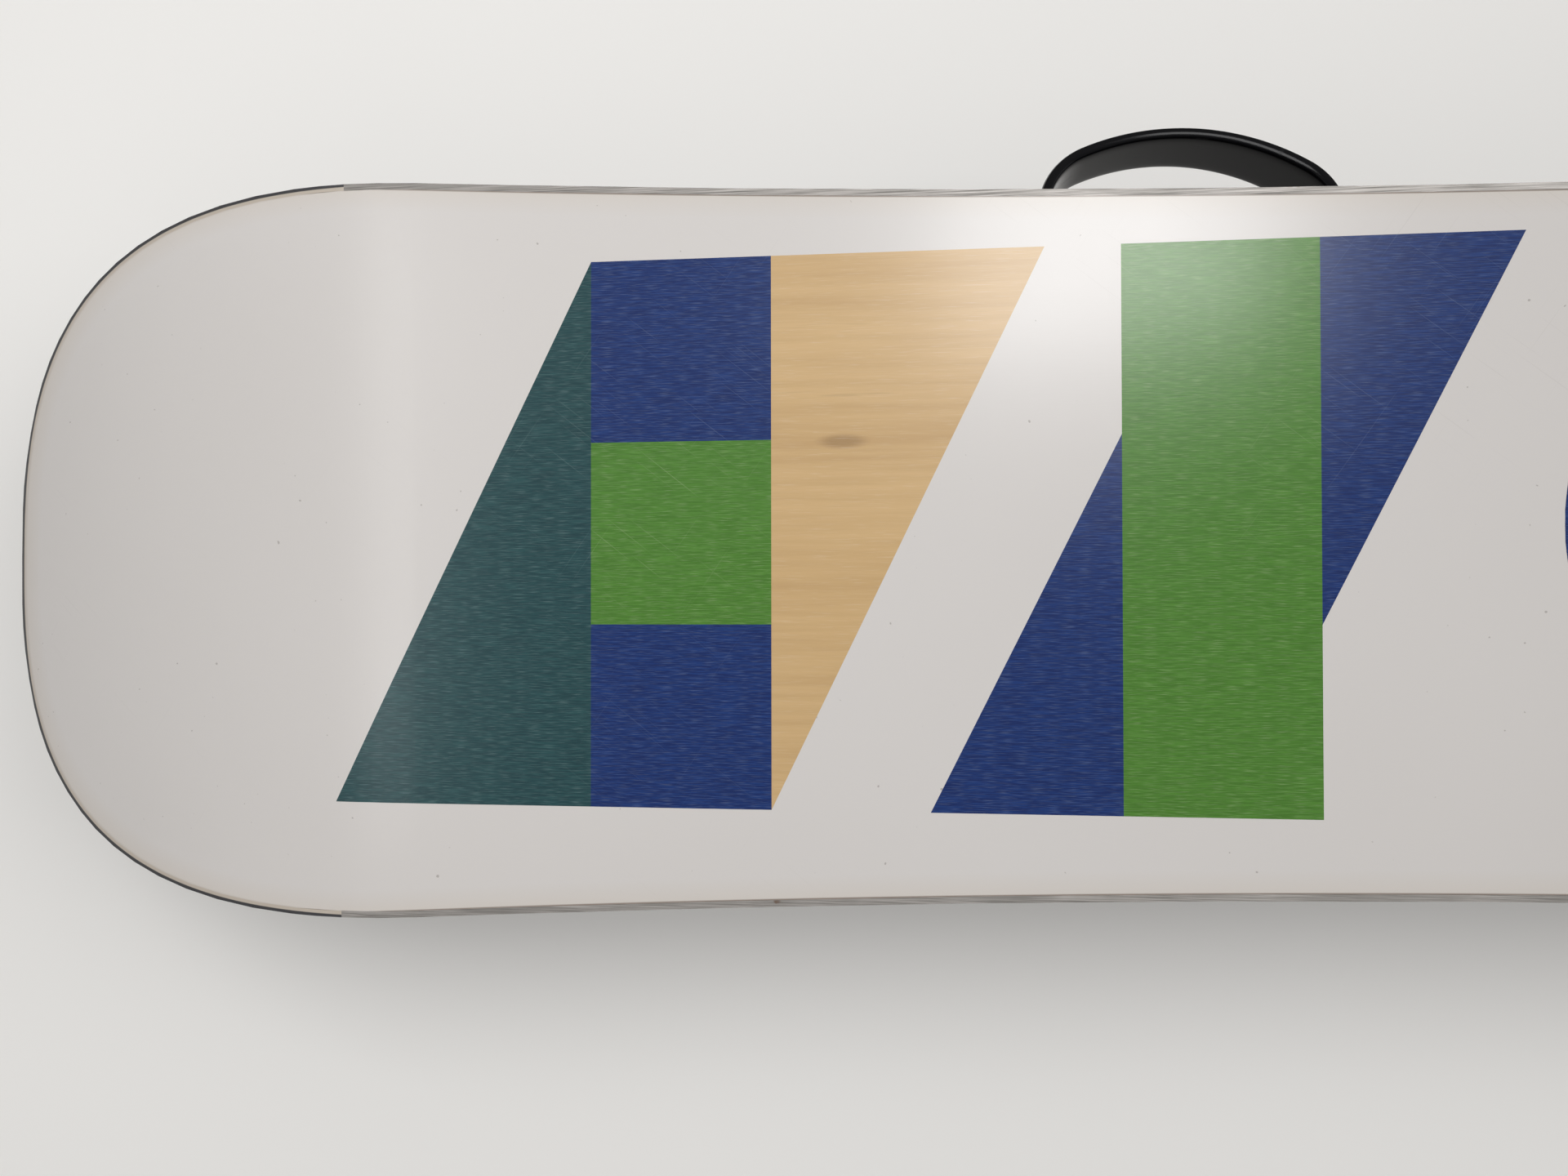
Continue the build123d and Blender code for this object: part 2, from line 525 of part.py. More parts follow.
def make_strap_bolts():
    """The four bolts that the straps swing on: toe pair in the plate, ankle pair in the loop."""
    wall, leg = PLATE_HALF_WIDTH, PLATE_HALF_WIDTH + LOOP_WALL
    toe_near = strap_bolt(wall - SIDE_THICKNESS, wall, toe_ladder_face(), TOE_BOLT)
    toe_far = strap_bolt(wall - SIDE_THICKNESS, wall, wall + SIDE_GAP, TOE_BOLT)
    ankle = strap_bolt(wall, leg, leg + SIDE_GAP, ANKLE_BOLT)
    return [toe_near, mirror(toe_far, about=Plane.YZ)] + both_sides(ankle)


def fold_down(shape):
    """Place a piece drawn with an upright spine, pivot at the origin, in the folded highback."""
    return Pos(0, *PIVOT) * Rot(fold_tilt() - 90, 0, 0) * shape


def back_outline(inset):
    """The highback seen from behind, narrowing to a rounded top, as a prism along Y."""
    wide = PLATE_HALF_WIDTH + 1
    top, half = SPINE_TOP - inset, SHELL_TOP_HALF_WIDTH - inset
    right = [(wide, -40), (wide, 70), (half + 3, SPINE_TOP - 60), (half - 4, top - 22)]
    edges = [Polyline(*[(x, 0, z) for x, z in right]),
             ThreePointArc((half - 4, 0, top - 22), (half - 14, 0, top - 7), (half - 30, 0, top)),
             Line((half - 30, 0, top), (30 - half, 0, top)),
             ThreePointArc((30 - half, 0, top), (14 - half, 0, top - 7), (4 - half, 0, top - 22)),
             Polyline(*[(-x, 0, z) for x, z in reversed(right)]),
             Line((-wide, 0, -40), (wide, 0, -40))]
    return extrude(make_face(Wire.combine(edges)[0]), BIG, dir=(0, 1, 0), both=True)


def shell_band(inset, wall, low, high):
    """The highback's U-shaped section, inset from its outer face, as a wall along the spine."""
    return u_band(PLATE_HALF_WIDTH - SIDE_GAP - inset, SPINE_DEPTH - inset,
                  SHELL_REAR_RADIUS - inset, SHELL_CORNER_RADIUS - inset, wall,
                  2 * EAR_RADIUS, low, high)


def make_highback():
    """The curved shell with two ears, its slot for the lean block and its vents."""
    shell = shell_band(0, SHELL_WALL, -EAR_RADIUS - 2, SPINE_TOP + 2)
    front, deep = -EAR_RADIUS, SPINE_DEPTH
    wing = [(front, 0), (front, 34), (2, 66), (deep - 34, 112), (deep - 30, 160),
            (deep - 22, SPINE_TOP + 1), (deep + 1, SPINE_TOP + 1), (deep + 1, SPINE_BOTTOM),
            (28, SPINE_BOTTOM), (0, -EAR_RADIUS), (0, 0)]
    shape = side_view([(-depth, z) for depth, z in wing]) + bar(-BIG, BIG, EAR_RADIUS, 0, 0)
    shell &= shape
    shell &= back_outline(0)
    shell -= bar(-BIG, BIG, PIVOT_RADIUS + RUNNING_GAP, 0, 0)
    neck = BLOCK_NECK_HALF_WIDTH + SLIDE_GAP
    slot_top = BLOCK_BOTTOM + BLOCK_HEIGHT + BLOCK_TRAVEL
    shell -= block(-neck, neck, -deep - 5, -deep + 15, BLOCK_BOTTOM + 2, slot_top)
    for side in (-1, 1):
        vent = Box(VENT_WIDTH, deep, VENT_HEIGHT)
        vent = fillet(vent.edges().filter_by(Axis.Y), 0.49 * VENT_WIDTH)
        shell -= Pos(side * VENT_HALF_SPACING, -deep, VENT_PLACE) * vent
    return shell


def make_liner():
    """The padded lining of the shell's upper half."""
    liner = shell_band(SHELL_WALL, LINER, LINER_BOTTOM, SPINE_TOP - LINER_MARGIN)
    liner &= back_outline(LINER_MARGIN)
    return liner - block(-BIG, BIG, -SPINE_DEPTH + 30, BIG, -BIG, BIG)


def make_lean_block():
    """The stop that slides on the spine and meets the heel loop, with its clamp inside."""
    rear = -SPINE_DEPTH - BLOCK_THICKNESS
    top = BLOCK_BOTTOM + BLOCK_HEIGHT
    body = block(-BLOCK_HALF_WIDTH, BLOCK_HALF_WIDTH, rear, -SPINE_DEPTH, BLOCK_BOTTOM, top)
    body = fillet(body.edges().filter_by(Axis.Y), 4)
    body -= Pos(0, SHELL_REAR_RADIUS - SPINE_DEPTH, (BLOCK_BOTTOM + top) / 2) * Cylinder(
        SHELL_REAR_RADIUS + SLIDE_GAP, BLOCK_HEIGHT + 2)
    inner = -SPINE_DEPTH + SHELL_WALL + SIDE_GAP
    body += block(-BLOCK_NECK_HALF_WIDTH, BLOCK_NECK_HALF_WIDTH, -SPINE_DEPTH - 2, inner + 1,
                  BLOCK_BOTTOM + 3, top - 1)
    return body + block(-BLOCK_PLATE_HALF_WIDTH, BLOCK_PLATE_HALF_WIDTH, inner,
                        inner + BLOCK_PLATE, BLOCK_BOTTOM + 2, top - 1)


# ---------------------------------------------------------------- straps and buckles


def buckle_pieces():
    """Base, lever and release of a ratchet buckle: X out of the strap, Y along it, Z across."""
    lever_y, lever_x = LEVER_AXLE
    release_y, release_x = RELEASE_AXLE
    inside = BUCKLE_HALF_WIDTH - CHEEK
    clear = inside - BUCKLE_SIDE_GAP

    def across(points, z0, z1):
        face = make_face(Polyline(*[(x, y, z0) for x, y in points], close=True))
        return extrude(face, z1 - z0, dir=(0, 0, 1))

    long = BUCKLE_HALF_LENGTH
    base = block(0, BUCKLE_FLOOR, -long, long, -BUCKLE_HALF_WIDTH, BUCKLE_HALF_WIDTH)
    cheek = [(0, -long), (5, -long), (CHEEK_HEIGHT, lever_y - 7), (CHEEK_HEIGHT + 1, lever_y),
             (CHEEK_HEIGHT, lever_y + 7), (release_x + 3, release_y + 5), (4, long), (0, long)]
    base += across(cheek, inside, BUCKLE_HALF_WIDTH) + across(cheek, -BUCKLE_HALF_WIDTH, -inside)
    axles = [post(AXLE_RADIUS, x, y, -BUCKLE_HALF_WIDTH - 0.8, BUCKLE_HALF_WIDTH + 0.8)
             for y, x in (LEVER_AXLE, RELEASE_AXLE)]
    base += axles[0] + axles[1]

    lever = post(LEVER_HUB, lever_x, lever_y, -clear, clear)
    under = CHEEK_HEIGHT + 1 + SIDE_GAP
    skin = under + LEVER_THICKNESS
    lever += across([(lever_x, lever_y - 2), (lever_x, lever_y + 3.5), (under, lever_y + 7),
                     (under, LEVER_TIP - 8), (under + 3, LEVER_TIP), (skin + 2.6, LEVER_TIP),
                     (skin, LEVER_TIP - 9), (skin, lever_y - 3), (under, lever_y - 4)],
                    -clear, clear)
    lever -= post(AXLE_RADIUS + RUNNING_GAP, lever_x, lever_y, -BIG, BIG)

    narrow = clear - 3
    release = post(RELEASE_HUB, release_x, release_y, -narrow, narrow)
    release += across([(release_x - 1, release_y), (release_x + 1.6, release_y),
                       (release_x + 1.6, release_y + 9), (release_x + 0.6, release_y + 14),
                       (release_x - 1, release_y + 14)], -narrow, narrow)
    release -= post(AXLE_RADIUS + RUNNING_GAP, release_x, release_y, -BIG, BIG)
    return base, lever, release


def bent_strip(x0, x1, length):
    """A strip of thickness x0 to x1 along Y that bends outwards, as a tall prism."""
    radius, start = ANKLE_BEND_RADIUS, ANKLE_BEND_START
    ring = Cylinder(radius - x0, BIG) - Cylinder(radius - x1, BIG + 1)
    bend = Pos(radius, start) * ring & block(0, radius / 2, start, length, -BIG, BIG)
    return bend + block(x0, x1, -TAB_RADIUS, start, -BIG / 2, BIG / 2)


def strip_outline(half, begin, length, corner):
    """A tab round the bolt that widens to a rounded strip, as a prism along X."""
    face = make_face(Polyline(*[(0, y, z) for y, z in (
        (0, TAB_RADIUS), (begin - 12, TAB_RADIUS), (begin, half), (length, half),
        (length, -half), (begin, -half), (begin - 12, -TAB_RADIUS), (0, -TAB_RADIUS))],
        close=True))
    far = face.vertices().filter_by(lambda v: v.Y > begin - 1)
    face = fillet(far, corner)
    return extrude(face, BIG, dir=(1, 0, 0), both=True) + bar(-BIG, BIG, TAB_RADIUS, 0, 0)


def bolt_hole():
    """The hole of a strap's tab."""
    return bar(-BIG, BIG, BOLT_RADIUS + RUNNING_GAP, 0, 0)


def make_ankle_strap():
    """The padded half of the ankle strap, bolt at the origin, lying along +Y."""
    x0 = SIDE_GAP
    tab = bent_strip(x0, x0 + TAB_THICKNESS, ANKLE_LENGTH)
    pad = bent_strip(x0, x0 + ANKLE_PAD, ANKLE_LENGTH)
    pad &= block(-BIG, BIG, PAD_START, BIG, -BIG, BIG)
    shape = strip_outline(ANKLE_HALF_WIDTH, PAD_START + 6, ANKLE_LENGTH, PAD_CORNER - 6)
    return ((tab + pad) & shape) - bolt_hole()


def on_ankle_strap(shape):
    """Place a piece drawn on a flat strap at the buckle's place on the bent one."""
    radius = ANKLE_BEND_RADIUS - SIDE_GAP - ANKLE_PAD
    turn = math.asin((BUCKLE_PLACE - ANKLE_BEND_START) / radius)
    lift = radius - math.sqrt(radius ** 2 - BUCKLE_HALF_LENGTH ** 2)
    x = ANKLE_BEND_RADIUS - (radius - lift) * math.cos(turn)
    y = ANKLE_BEND_START + (radius - lift) * math.sin(turn)
    return Pos(x, y) * Rot(0, 0, -math.degrees(turn)) * shape


def make_ankle_ladder():
    """The toothed half of the ankle strap, drawn as make_ankle_strap."""
    x0 = SIDE_GAP
    face = x0 + TAB_THICKNESS
    strip = bent_strip(x0, face, LADDER_LENGTH)
    strip &= strip_outline(LADDER_HALF_WIDTH, 20, LADDER_LENGTH, LADDER_HALF_WIDTH - 3)
    points = []
    radius = ANKLE_BEND_RADIUS
    count = int((LADDER_LENGTH - 8 - TOOTH_START) / TOOTH_PITCH)

    def on_bend(along, height):
        turn = (along - ANKLE_BEND_START) / (radius - face)
        reach = radius - face - height
        return radius - reach * math.cos(turn), ANKLE_BEND_START + reach * math.sin(turn)

    for i in range(count):
        along = TOOTH_START + i * TOOTH_PITCH
        points += [on_bend(along, 0), on_bend(along + TOOTH_PITCH * 0.8, TOOTH_HEIGHT)]
    end = TOOTH_START + count * TOOTH_PITCH
    points += [on_bend(end, 0), on_bend(end, -1), on_bend(TOOTH_START, -1)]
    return strip + plan(points, -TOOTH_HALF_WIDTH, TOOTH_HALF_WIDTH) - bolt_hole()


def toe_ladder_face():
    """The toe ladder's inner face: outside the cap strap and the buckle's floor."""
    return PLATE_HALF_WIDTH + SIDE_GAP + TAB_THICKNESS + BUCKLE_FLOOR


def make_toe_strap():
    """The toe cap strap, a U in its own plane: bolt axis along X at y = 0, apex on +Y."""
    half = PLATE_HALF_WIDTH + SIDE_GAP + TAB_THICKNESS

    def band(inset, wall):
        ring = u_band(half - inset, TOE_REACH - inset, TOE_APEX_RADIUS - inset,
                      TOE_CORNER_RADIUS - inset, wall, 2 * TAB_RADIUS, -BIG / 2, BIG / 2)
        return Rot(0, 0, 180) * ring

    width = strip_outline(TOE_HALF_WIDTH, TOE_PAD_START + 4, 2 * TOE_REACH, 4)
    cap = (band(0, TAB_THICKNESS) & width) - bolt_hole()
    cap -= block(0, BIG, -BIG, TOE_CAP_START, -BIG, BIG)
    pad = band(TAB_THICKNESS, TOE_PAD) & width & block(-BIG, BIG, TOE_PAD_START, BIG, -BIG, BIG)
    return cap + pad


def make_toe_ladder():
    """The toe strap's toothed half, straight through the buckle."""
    x0 = toe_ladder_face()
    face = x0 + TAB_THICKNESS
    strip = block(x0, face, -TAB_RADIUS, TOE_LADDER_LENGTH, -BIG / 2, BIG / 2)
    strip &= strip_outline(LADDER_HALF_WIDTH, 20, TOE_LADDER_LENGTH, LADDER_HALF_WIDTH - 3)
    points = []
    count = int((TOE_LADDER_LENGTH - 6 - TOE_TOOTH_START) / TOOTH_PITCH)
    for i in range(count):
        along = TOE_TOOTH_START + i * TOOTH_PITCH
        points += [(face, along), (face + TOOTH_HEIGHT, along + TOOTH_PITCH * 0.8)]
    end = TOE_TOOTH_START + count * TOOTH_PITCH
    points += [(face, end), (face - 1, end), (face - 1, TOE_TOOTH_START)]
    return strip + plan(points, -TOOTH_HALF_WIDTH, TOOTH_HALF_WIDTH) - bolt_hole()


def make_binding():
    """The rear binding's pieces in its own frame. The disc and its screws are kept apart."""
    pieces = {"baseplate": make_baseplate(), "footbed": make_footbed(),
              "gas_pedal": make_pedal(), "heel_loop": make_loop(),
              "loop_bolts": make_loop_bolts(), "pivot_bolts": make_pivot_bolts(),
              "strap_bolts": make_strap_bolts()}
    for name, make in (("highback", make_highback), ("highback_liner", make_liner),
                       ("lean_block", make_lean_block)):
        pieces[name] = fold_down(make())

    leg = Pos(PLATE_HALF_WIDTH + LOOP_WALL, *ANKLE_BOLT) * Rot(ANKLE_TILT, 0, 0)
    base, lever, release = buckle_pieces()
    pieces["ankle_strap"] = leg * make_ankle_strap()
    pieces["ankle_ladder"] = mirror(leg * make_ankle_ladder(), about=Plane.YZ)
    pieces["ankle_buckle"] = leg * on_ankle_strap(base)
    pieces["ankle_lever"] = leg * on_ankle_strap(lever)
    pieces["ankle_release"] = leg * on_ankle_strap(release)

    toe = Pos(0, *TOE_BOLT) * Rot(TOE_TILT, 0, 0)
    on_cap = Pos(toe_ladder_face() - BUCKLE_FLOOR, TOE_BUCKLE_PLACE)
    pieces["toe_strap"] = toe * make_toe_strap()
    pieces["toe_ladder"] = toe * make_toe_ladder()
    pieces["toe_buckle"] = toe * on_cap * base
    pieces["toe_lever"] = toe * on_cap * lever
    pieces["toe_release"] = toe * on_cap * release
    return pieces


# ---------------------------------------------------------------- assembly


def as_list(shapes):
    """A list of shapes from one shape or a list."""
    return list(shapes) if isinstance(shapes, (list, tuple)) else [shapes]


def make_bindings():
    """Both bindings on the board: the rear one placed, the front one its mirror image."""
    on_board = Pos(STANCE_HALF, 0, THICKNESS)
    placed = {}
    for name, shapes in make_binding().items():
        placed[name] = [on_board * Rot(0, 0, -STANCE_ANGLE) * one for one in as_list(shapes)]
    disc, screws = make_disc()
    placed["disc"] = [on_board * disc]
    placed["disc_screws"] = [on_board * one for one in screws]
    for name, shapes in placed.items():
        PIECES["rear_" + name] = shapes
        PIECES["front_" + name] = [mirror(one, about=Plane.YZ) for one in shapes]


def put_down():
    """Turn every piece base up and write it to parts/NODE.step."""
    os.makedirs("parts", exist_ok=True)
    for name, shapes in PIECES.items():
        solids = [solid for one in as_list(shapes) for solid in one.solids()]
        turned = [Rot(180, 0, 0) * solid for solid in solids]
        export_step(turned[0] if len(turned) == 1 else Compound(children=turned),
                    "parts/" + name + ".step")


make_board()
make_stomp_pad()
make_bindings()
put_down()
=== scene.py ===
"""A snowboard lying base up on its two folded strap bindings.

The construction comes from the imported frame. Each section below finishes one piece or one
group of like pieces, from the floor and the light up to the last buckle.
"""

import math

import bmesh
import bpy
import numpy as np
from mathutils import Matrix, Vector


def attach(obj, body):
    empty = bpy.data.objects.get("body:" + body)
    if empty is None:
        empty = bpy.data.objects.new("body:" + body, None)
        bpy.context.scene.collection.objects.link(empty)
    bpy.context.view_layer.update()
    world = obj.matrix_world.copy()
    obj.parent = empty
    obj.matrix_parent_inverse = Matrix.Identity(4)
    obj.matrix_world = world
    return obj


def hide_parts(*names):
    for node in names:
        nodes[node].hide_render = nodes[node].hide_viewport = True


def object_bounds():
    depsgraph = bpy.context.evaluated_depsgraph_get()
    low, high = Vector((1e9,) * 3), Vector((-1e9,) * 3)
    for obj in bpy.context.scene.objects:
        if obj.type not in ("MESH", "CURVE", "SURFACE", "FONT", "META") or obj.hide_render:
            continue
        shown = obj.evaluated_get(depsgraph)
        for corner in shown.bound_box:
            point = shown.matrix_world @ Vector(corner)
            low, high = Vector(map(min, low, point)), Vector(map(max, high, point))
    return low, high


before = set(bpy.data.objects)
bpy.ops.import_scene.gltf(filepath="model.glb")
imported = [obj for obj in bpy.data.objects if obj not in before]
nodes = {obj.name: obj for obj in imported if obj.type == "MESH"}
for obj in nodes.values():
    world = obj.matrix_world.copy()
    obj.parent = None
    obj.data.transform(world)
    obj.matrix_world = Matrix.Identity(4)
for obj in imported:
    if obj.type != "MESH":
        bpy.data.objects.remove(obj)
cad_box = [list(corner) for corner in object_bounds()]
scene = bpy.context.scene
scene.view_settings.view_transform = "Standard"


# ---- camera ----
# The camera looks down on the nose half of the base from under half a metre, almost square to it.
CAMERA_PLACE = Vector((-0.3771, -0.0215, 0.4488))
CAMERA_AIM = Vector((-0.4276, -0.0160, 0.0))
CAMERA_ROLL = -0.0015
CAMERA_LENS, CAMERA_SENSOR = 27.04, 36.0


def look_at(thing, place, aim, roll=0.0):
    """Stands a thing at place with its -Z towards aim and its +Y near the world's +Y."""
    forward = (aim - place).normalized()
    right = forward.cross(Vector((0, 1, 0))).normalized()
    up = right.cross(forward)
    turned_right = right * math.cos(roll) + up * math.sin(roll)
    turned_up = up * math.cos(roll) - right * math.sin(roll)
    stand = Matrix((turned_right, turned_up, -forward)).transposed().to_4x4()
    stand.translation = place
    thing.matrix_world = stand


camera = bpy.data.objects.new("camera", bpy.data.cameras.new("camera"))
camera.data.lens, camera.data.sensor_width = CAMERA_LENS, CAMERA_SENSOR
camera.data.clip_start = 0.01
scene.collection.objects.link(camera)
look_at(camera, CAMERA_PLACE, CAMERA_AIM, CAMERA_ROLL)
scene.camera = camera


# ---- floor ----
# A wide matt pale floor at the level of the lowest strap, with no pattern of its own. Seen by
# the eye it is lifted towards the pale walls, which adds no light to the board.
FLOOR_REACH = 60.0
FLOOR_COLOUR, FLOOR_LIFT = (0.78, 0.77, 0.75, 1), 0.18


class Finish:
    """A material's node tree, with one short call for each kind of node that it uses."""

    def __init__(self, name):
        self.material = bpy.data.materials.new(name)
        self.material.use_nodes = True
        self.tree = self.material.node_tree
        self.shader = self.tree.nodes["Principled BSDF"]
        self.place = self.tree.nodes.new("ShaderNodeTexCoord").outputs["Object"]

    def put(self, value, socket):
        """Links an output into a socket, or sets the socket's own value."""
        if isinstance(value, bpy.types.NodeSocket):
            self.tree.links.new(value, socket)
        else:
            socket.default_value = value

    def node(self, kind, inputs, output=0, **settings):
        """Adds a node, fills its inputs and gives back one of its outputs."""
        made = self.tree.nodes.new("ShaderNode" + kind)
        for key, value in settings.items():
            setattr(made, key, value)
        for key, value in inputs.items():
            self.put(value, made.inputs[key])
        return made.outputs[output]

    def stretched(self, scale, turn=0.0, centre=(0, 0, 0)):
        """The object's coordinates about a centre, turned about Z, then scaled along each axis."""
        return self.node("Mapping", {"Vector": self.place, "Location": centre,
                                     "Rotation": (0, 0, turn),
                                     "Scale": tuple(1 / s for s in scale)}, vector_type="TEXTURE")

    def noise(self, scale, detail=3.0, rough=0.5, place=None):
        """Noise from 0 to 1, at its own scale or on stretched coordinates."""
        return self.node("TexNoise", {"Vector": place or self.place, "Scale": scale,
                                      "Detail": detail, "Roughness": rough})

    def ramp(self, value, low, high, out_low=0.0, out_high=1.0, smooth=False):
        """A clamped line from out_low where value is low to out_high where value is high."""
        return self.node("MapRange", {"Value": value, "From Min": low, "From Max": high,
                                      "To Min": out_low, "To Max": out_high},
                         interpolation_type="SMOOTHSTEP" if smooth else "LINEAR")

    def math(self, operation, first, second=0.0):
        """One operation on one or two values."""
        return self.node("Math", {0: first, 1: second}, operation=operation)

    def mix(self, factor, first, second):
        """A colour between two: the first where the factor is 0, the second where it is 1."""
        return self.node("Mix", {0: factor, 6: first, 7: second}, 2, data_type="RGBA")

    def bump(self, height, strength, distance, normal=None):
        """A normal that leans with a height from 0 to 1, over an earlier normal if one is given."""
        given = {"Normal": normal} if normal is not None else {}
        return self.node("Bump", {"Height": height, "Strength": strength,
                                  "Distance": distance, **given})

    def done(self, **sockets):
        """Fills the shader's sockets, named with _ for a space, and gives the material."""
        for key, value in sockets.items():
            self.put(value, self.shader.inputs[key.replace("_", " ")])
        return self.material


def make_mesh(name, points, faces, material, smooth=True):
    """A piece at the origin from arrays of points and faces: doubles merged, faces outward."""
    mesh = bpy.data.meshes.new(name)
    mesh.from_pydata(np.reshape(points, (-1, 3)).tolist(), [], np.asarray(faces).tolist())
    built = bmesh.new()
    built.from_mesh(mesh)
    bmesh.ops.remove_doubles(built, verts=built.verts, dist=2e-6)
    bmesh.ops.recalc_face_normals(built, faces=built.faces)
    built.to_mesh(mesh)
    built.free()
    mesh.polygons.foreach_set("use_smooth", [smooth] * len(mesh.polygons))
    mesh.materials.append(material)
    mesh.update()
    made = bpy.data.objects.new(name, mesh)
    scene.collection.objects.link(made)
    return made


def looked_at(tree):
    """1 for a ray from the camera, a mirror or a clear piece, and 0 for the light's own rays."""
    path = tree.nodes.new("ShaderNodeLightPath")
    looked = path.outputs["Is Camera Ray"]
    for ray in ("Is Glossy Ray", "Is Transmission Ray"):
        either = tree.nodes.new("ShaderNodeMath")
        either.operation = "MAXIMUM"
        tree.links.new(looked, either.inputs[0])
        tree.links.new(path.outputs[ray], either.inputs[1])
        looked = either.outputs[0]
    return looked


corner_signs = np.array([(-1, -1), (1, -1), (1, 1), (-1, 1)])
floor_points = np.c_[corner_signs * FLOOR_REACH, np.full(4, cad_box[0][2])]
f = Finish("floor_paint")
floor_paint = f.done(Base_Color=FLOOR_COLOUR, Roughness=0.9, Specular_IOR_Level=0.1,
                     Emission_Color=FLOOR_COLOUR,
                     Emission_Strength=f.math("MULTIPLY", looked_at(f.tree), FLOOR_LIFT))
make_mesh("floor", floor_points, [(0, 1, 2, 3)], floor_paint, smooth=False)


# ---- light ----
# A broad soft key from the tail end, softer light from the front and the back, and a near panel
# that lights the nose half. Two higher panels only shine in the waxed base. The room is even and
# its walls are pale.
ROOM_COLOUR, ROOM_LEVEL, WALL_LEVEL = (1.0, 0.98, 0.965, 1), 0.30, 0.75
BOARD_MIDDLE = Vector((-0.35, 0.0, -0.03))
SUNS = (("key_light", (1.0, 0.3, 0.85), 0.90, 35), ("front_light", (0.2, -1.0, 0.55), 0.20, 60),
        ("back_light", (0.1, 1.0, 0.6), 0.35, 60))
PANELS = (("ceiling_panel", (0.00, 0.72, 2.0), (0.66, 0.44), 22.0, "visible_diffuse"),
          ("near_panel", (-0.60, 0.42, 0.95), (0.90, 0.60), 5.4, "visible_glossy"),
          ("nose_panel", (-1.42, 0.15, 1.6), (0.12, 1.2), 4.0, "visible_diffuse"))

world = bpy.data.worlds.new("room")
world.use_nodes = True
room = world.node_tree
level = room.nodes.new("ShaderNodeMapRange")
room.links.new(looked_at(room), level.inputs["Value"])
level.inputs["To Min"].default_value, level.inputs["To Max"].default_value = ROOM_LEVEL, WALL_LEVEL
room.links.new(level.outputs[0], room.nodes["Background"].inputs["Strength"])
room.nodes["Background"].inputs["Color"].default_value = ROOM_COLOUR
scene.world = world


def add_lamp(kind, name, place, strength):
    """A lamp of that kind at a place, pointed at the board."""
    lamp = bpy.data.lights.new(name, kind)
    lamp.energy = strength
    made = bpy.data.objects.new(name, lamp)
    scene.collection.objects.link(made)
    look_at(made, Vector(place), BOARD_MIDDLE)
    return lamp


for name, place, strength, spread in SUNS:
    add_lamp("SUN", name, place, strength).angle = math.radians(spread)
for name, place, size, watts, hidden_from in PANELS:
    lamp = add_lamp("AREA", name, place, watts)
    lamp.shape, lamp.size, lamp.size_y = "RECTANGLE", size[0], size[1]
    for way in ("visible_camera", hidden_from):
        setattr(scene.objects[name], way, False)


# ---- running base: white sheet ----
# Sintered polyethylene, 1.4 mm thick, stone ground and waxed, glued over the laminate. The
# margin beside the edge is yellowed by resin, and use leaves specks and fine scuffs.
WHITE, WHITE_SHADE = (0.690, 0.664, 0.644, 1), (0.655, 0.628, 0.606, 1)
MARGIN_TINT, SEAM_BROWN, SPECK = (0.60, 0.52, 0.42, 1), (0.16, 0.11, 0.08, 1), (0.30, 0.27, 0.25, 1)
HALF_WAIST, SIDECUT_RADIUS, EDGE_WIDTH, EDGE_END = 0.1275, 8.9, 0.0026, 0.606
NOSE_CENTRE, NOSE_LENGTH, HALF_WIDEST, NOSE_POWER = 0.594, 0.190, 0.1475, 2.6
MARGIN, SEAM, SEAM_CLEAR, STEEL_FADE = 0.0115, 0.0006, 0.0002, 0.001
BASE_WAX, BASE_GLOSS = 0.225, 0.23
MARK_LENGTH, MARK_PITCH, MARKS_DEPTH = 0.012, 0.00045, 0.00005
SCUFF_TURN, OTHER_TURN = math.radians(-38), math.radians(55)


def paint(material, *names):
    """Puts one material on every slot of the named construction nodes."""
    for name in names:
        if not nodes[name].material_slots:
            nodes[name].data.materials.append(material)
        for one in nodes[name].material_slots:
            one.material = material


def to_edge(f):
    """Distance in from the board's outline: sidecut arcs, then the nose's superellipse."""
    x, y, _ = (f.node("SeparateXYZ", {0: f.place}, i) for i in range(3))
    x, y = f.math("ABSOLUTE", x), f.math("ABSOLUTE", y)
    bow = f.math("DIVIDE", f.math("MULTIPLY", x, x), 2 * SIDECUT_RADIUS)
    side = f.math("SUBTRACT", f.math("ADD", bow, HALF_WAIST), y)
    along = f.math("MAXIMUM", f.math("SUBTRACT", x, NOSE_CENTRE), 0.0)
    along = f.math("DIVIDE", along, NOSE_LENGTH)
    across = f.math("DIVIDE", y, HALF_WIDEST)
    total = f.math("ADD", f.math("POWER", along, NOSE_POWER), f.math("POWER", across, NOSE_POWER))
    nose = f.math("MULTIPLY", f.math("SUBTRACT", 1.0, f.math("POWER", total, 1 / NOSE_POWER)),
                  HALF_WIDEST)
    past = f.math("GREATER_THAN", x, NOSE_CENTRE)
    return f.math("ADD", f.math("MULTIPLY", past, nose),
                  f.math("MULTIPLY", f.math("SUBTRACT", 1.0, past), side))


def ground_marks(f):
    """The stone's fine marks: noise drawn out along the board, from 0 to 1."""
    return f.noise(1.0, 2.0, 0.65, f.stretched((1 / MARK_LENGTH, 1 / MARK_PITCH, 40.0)))


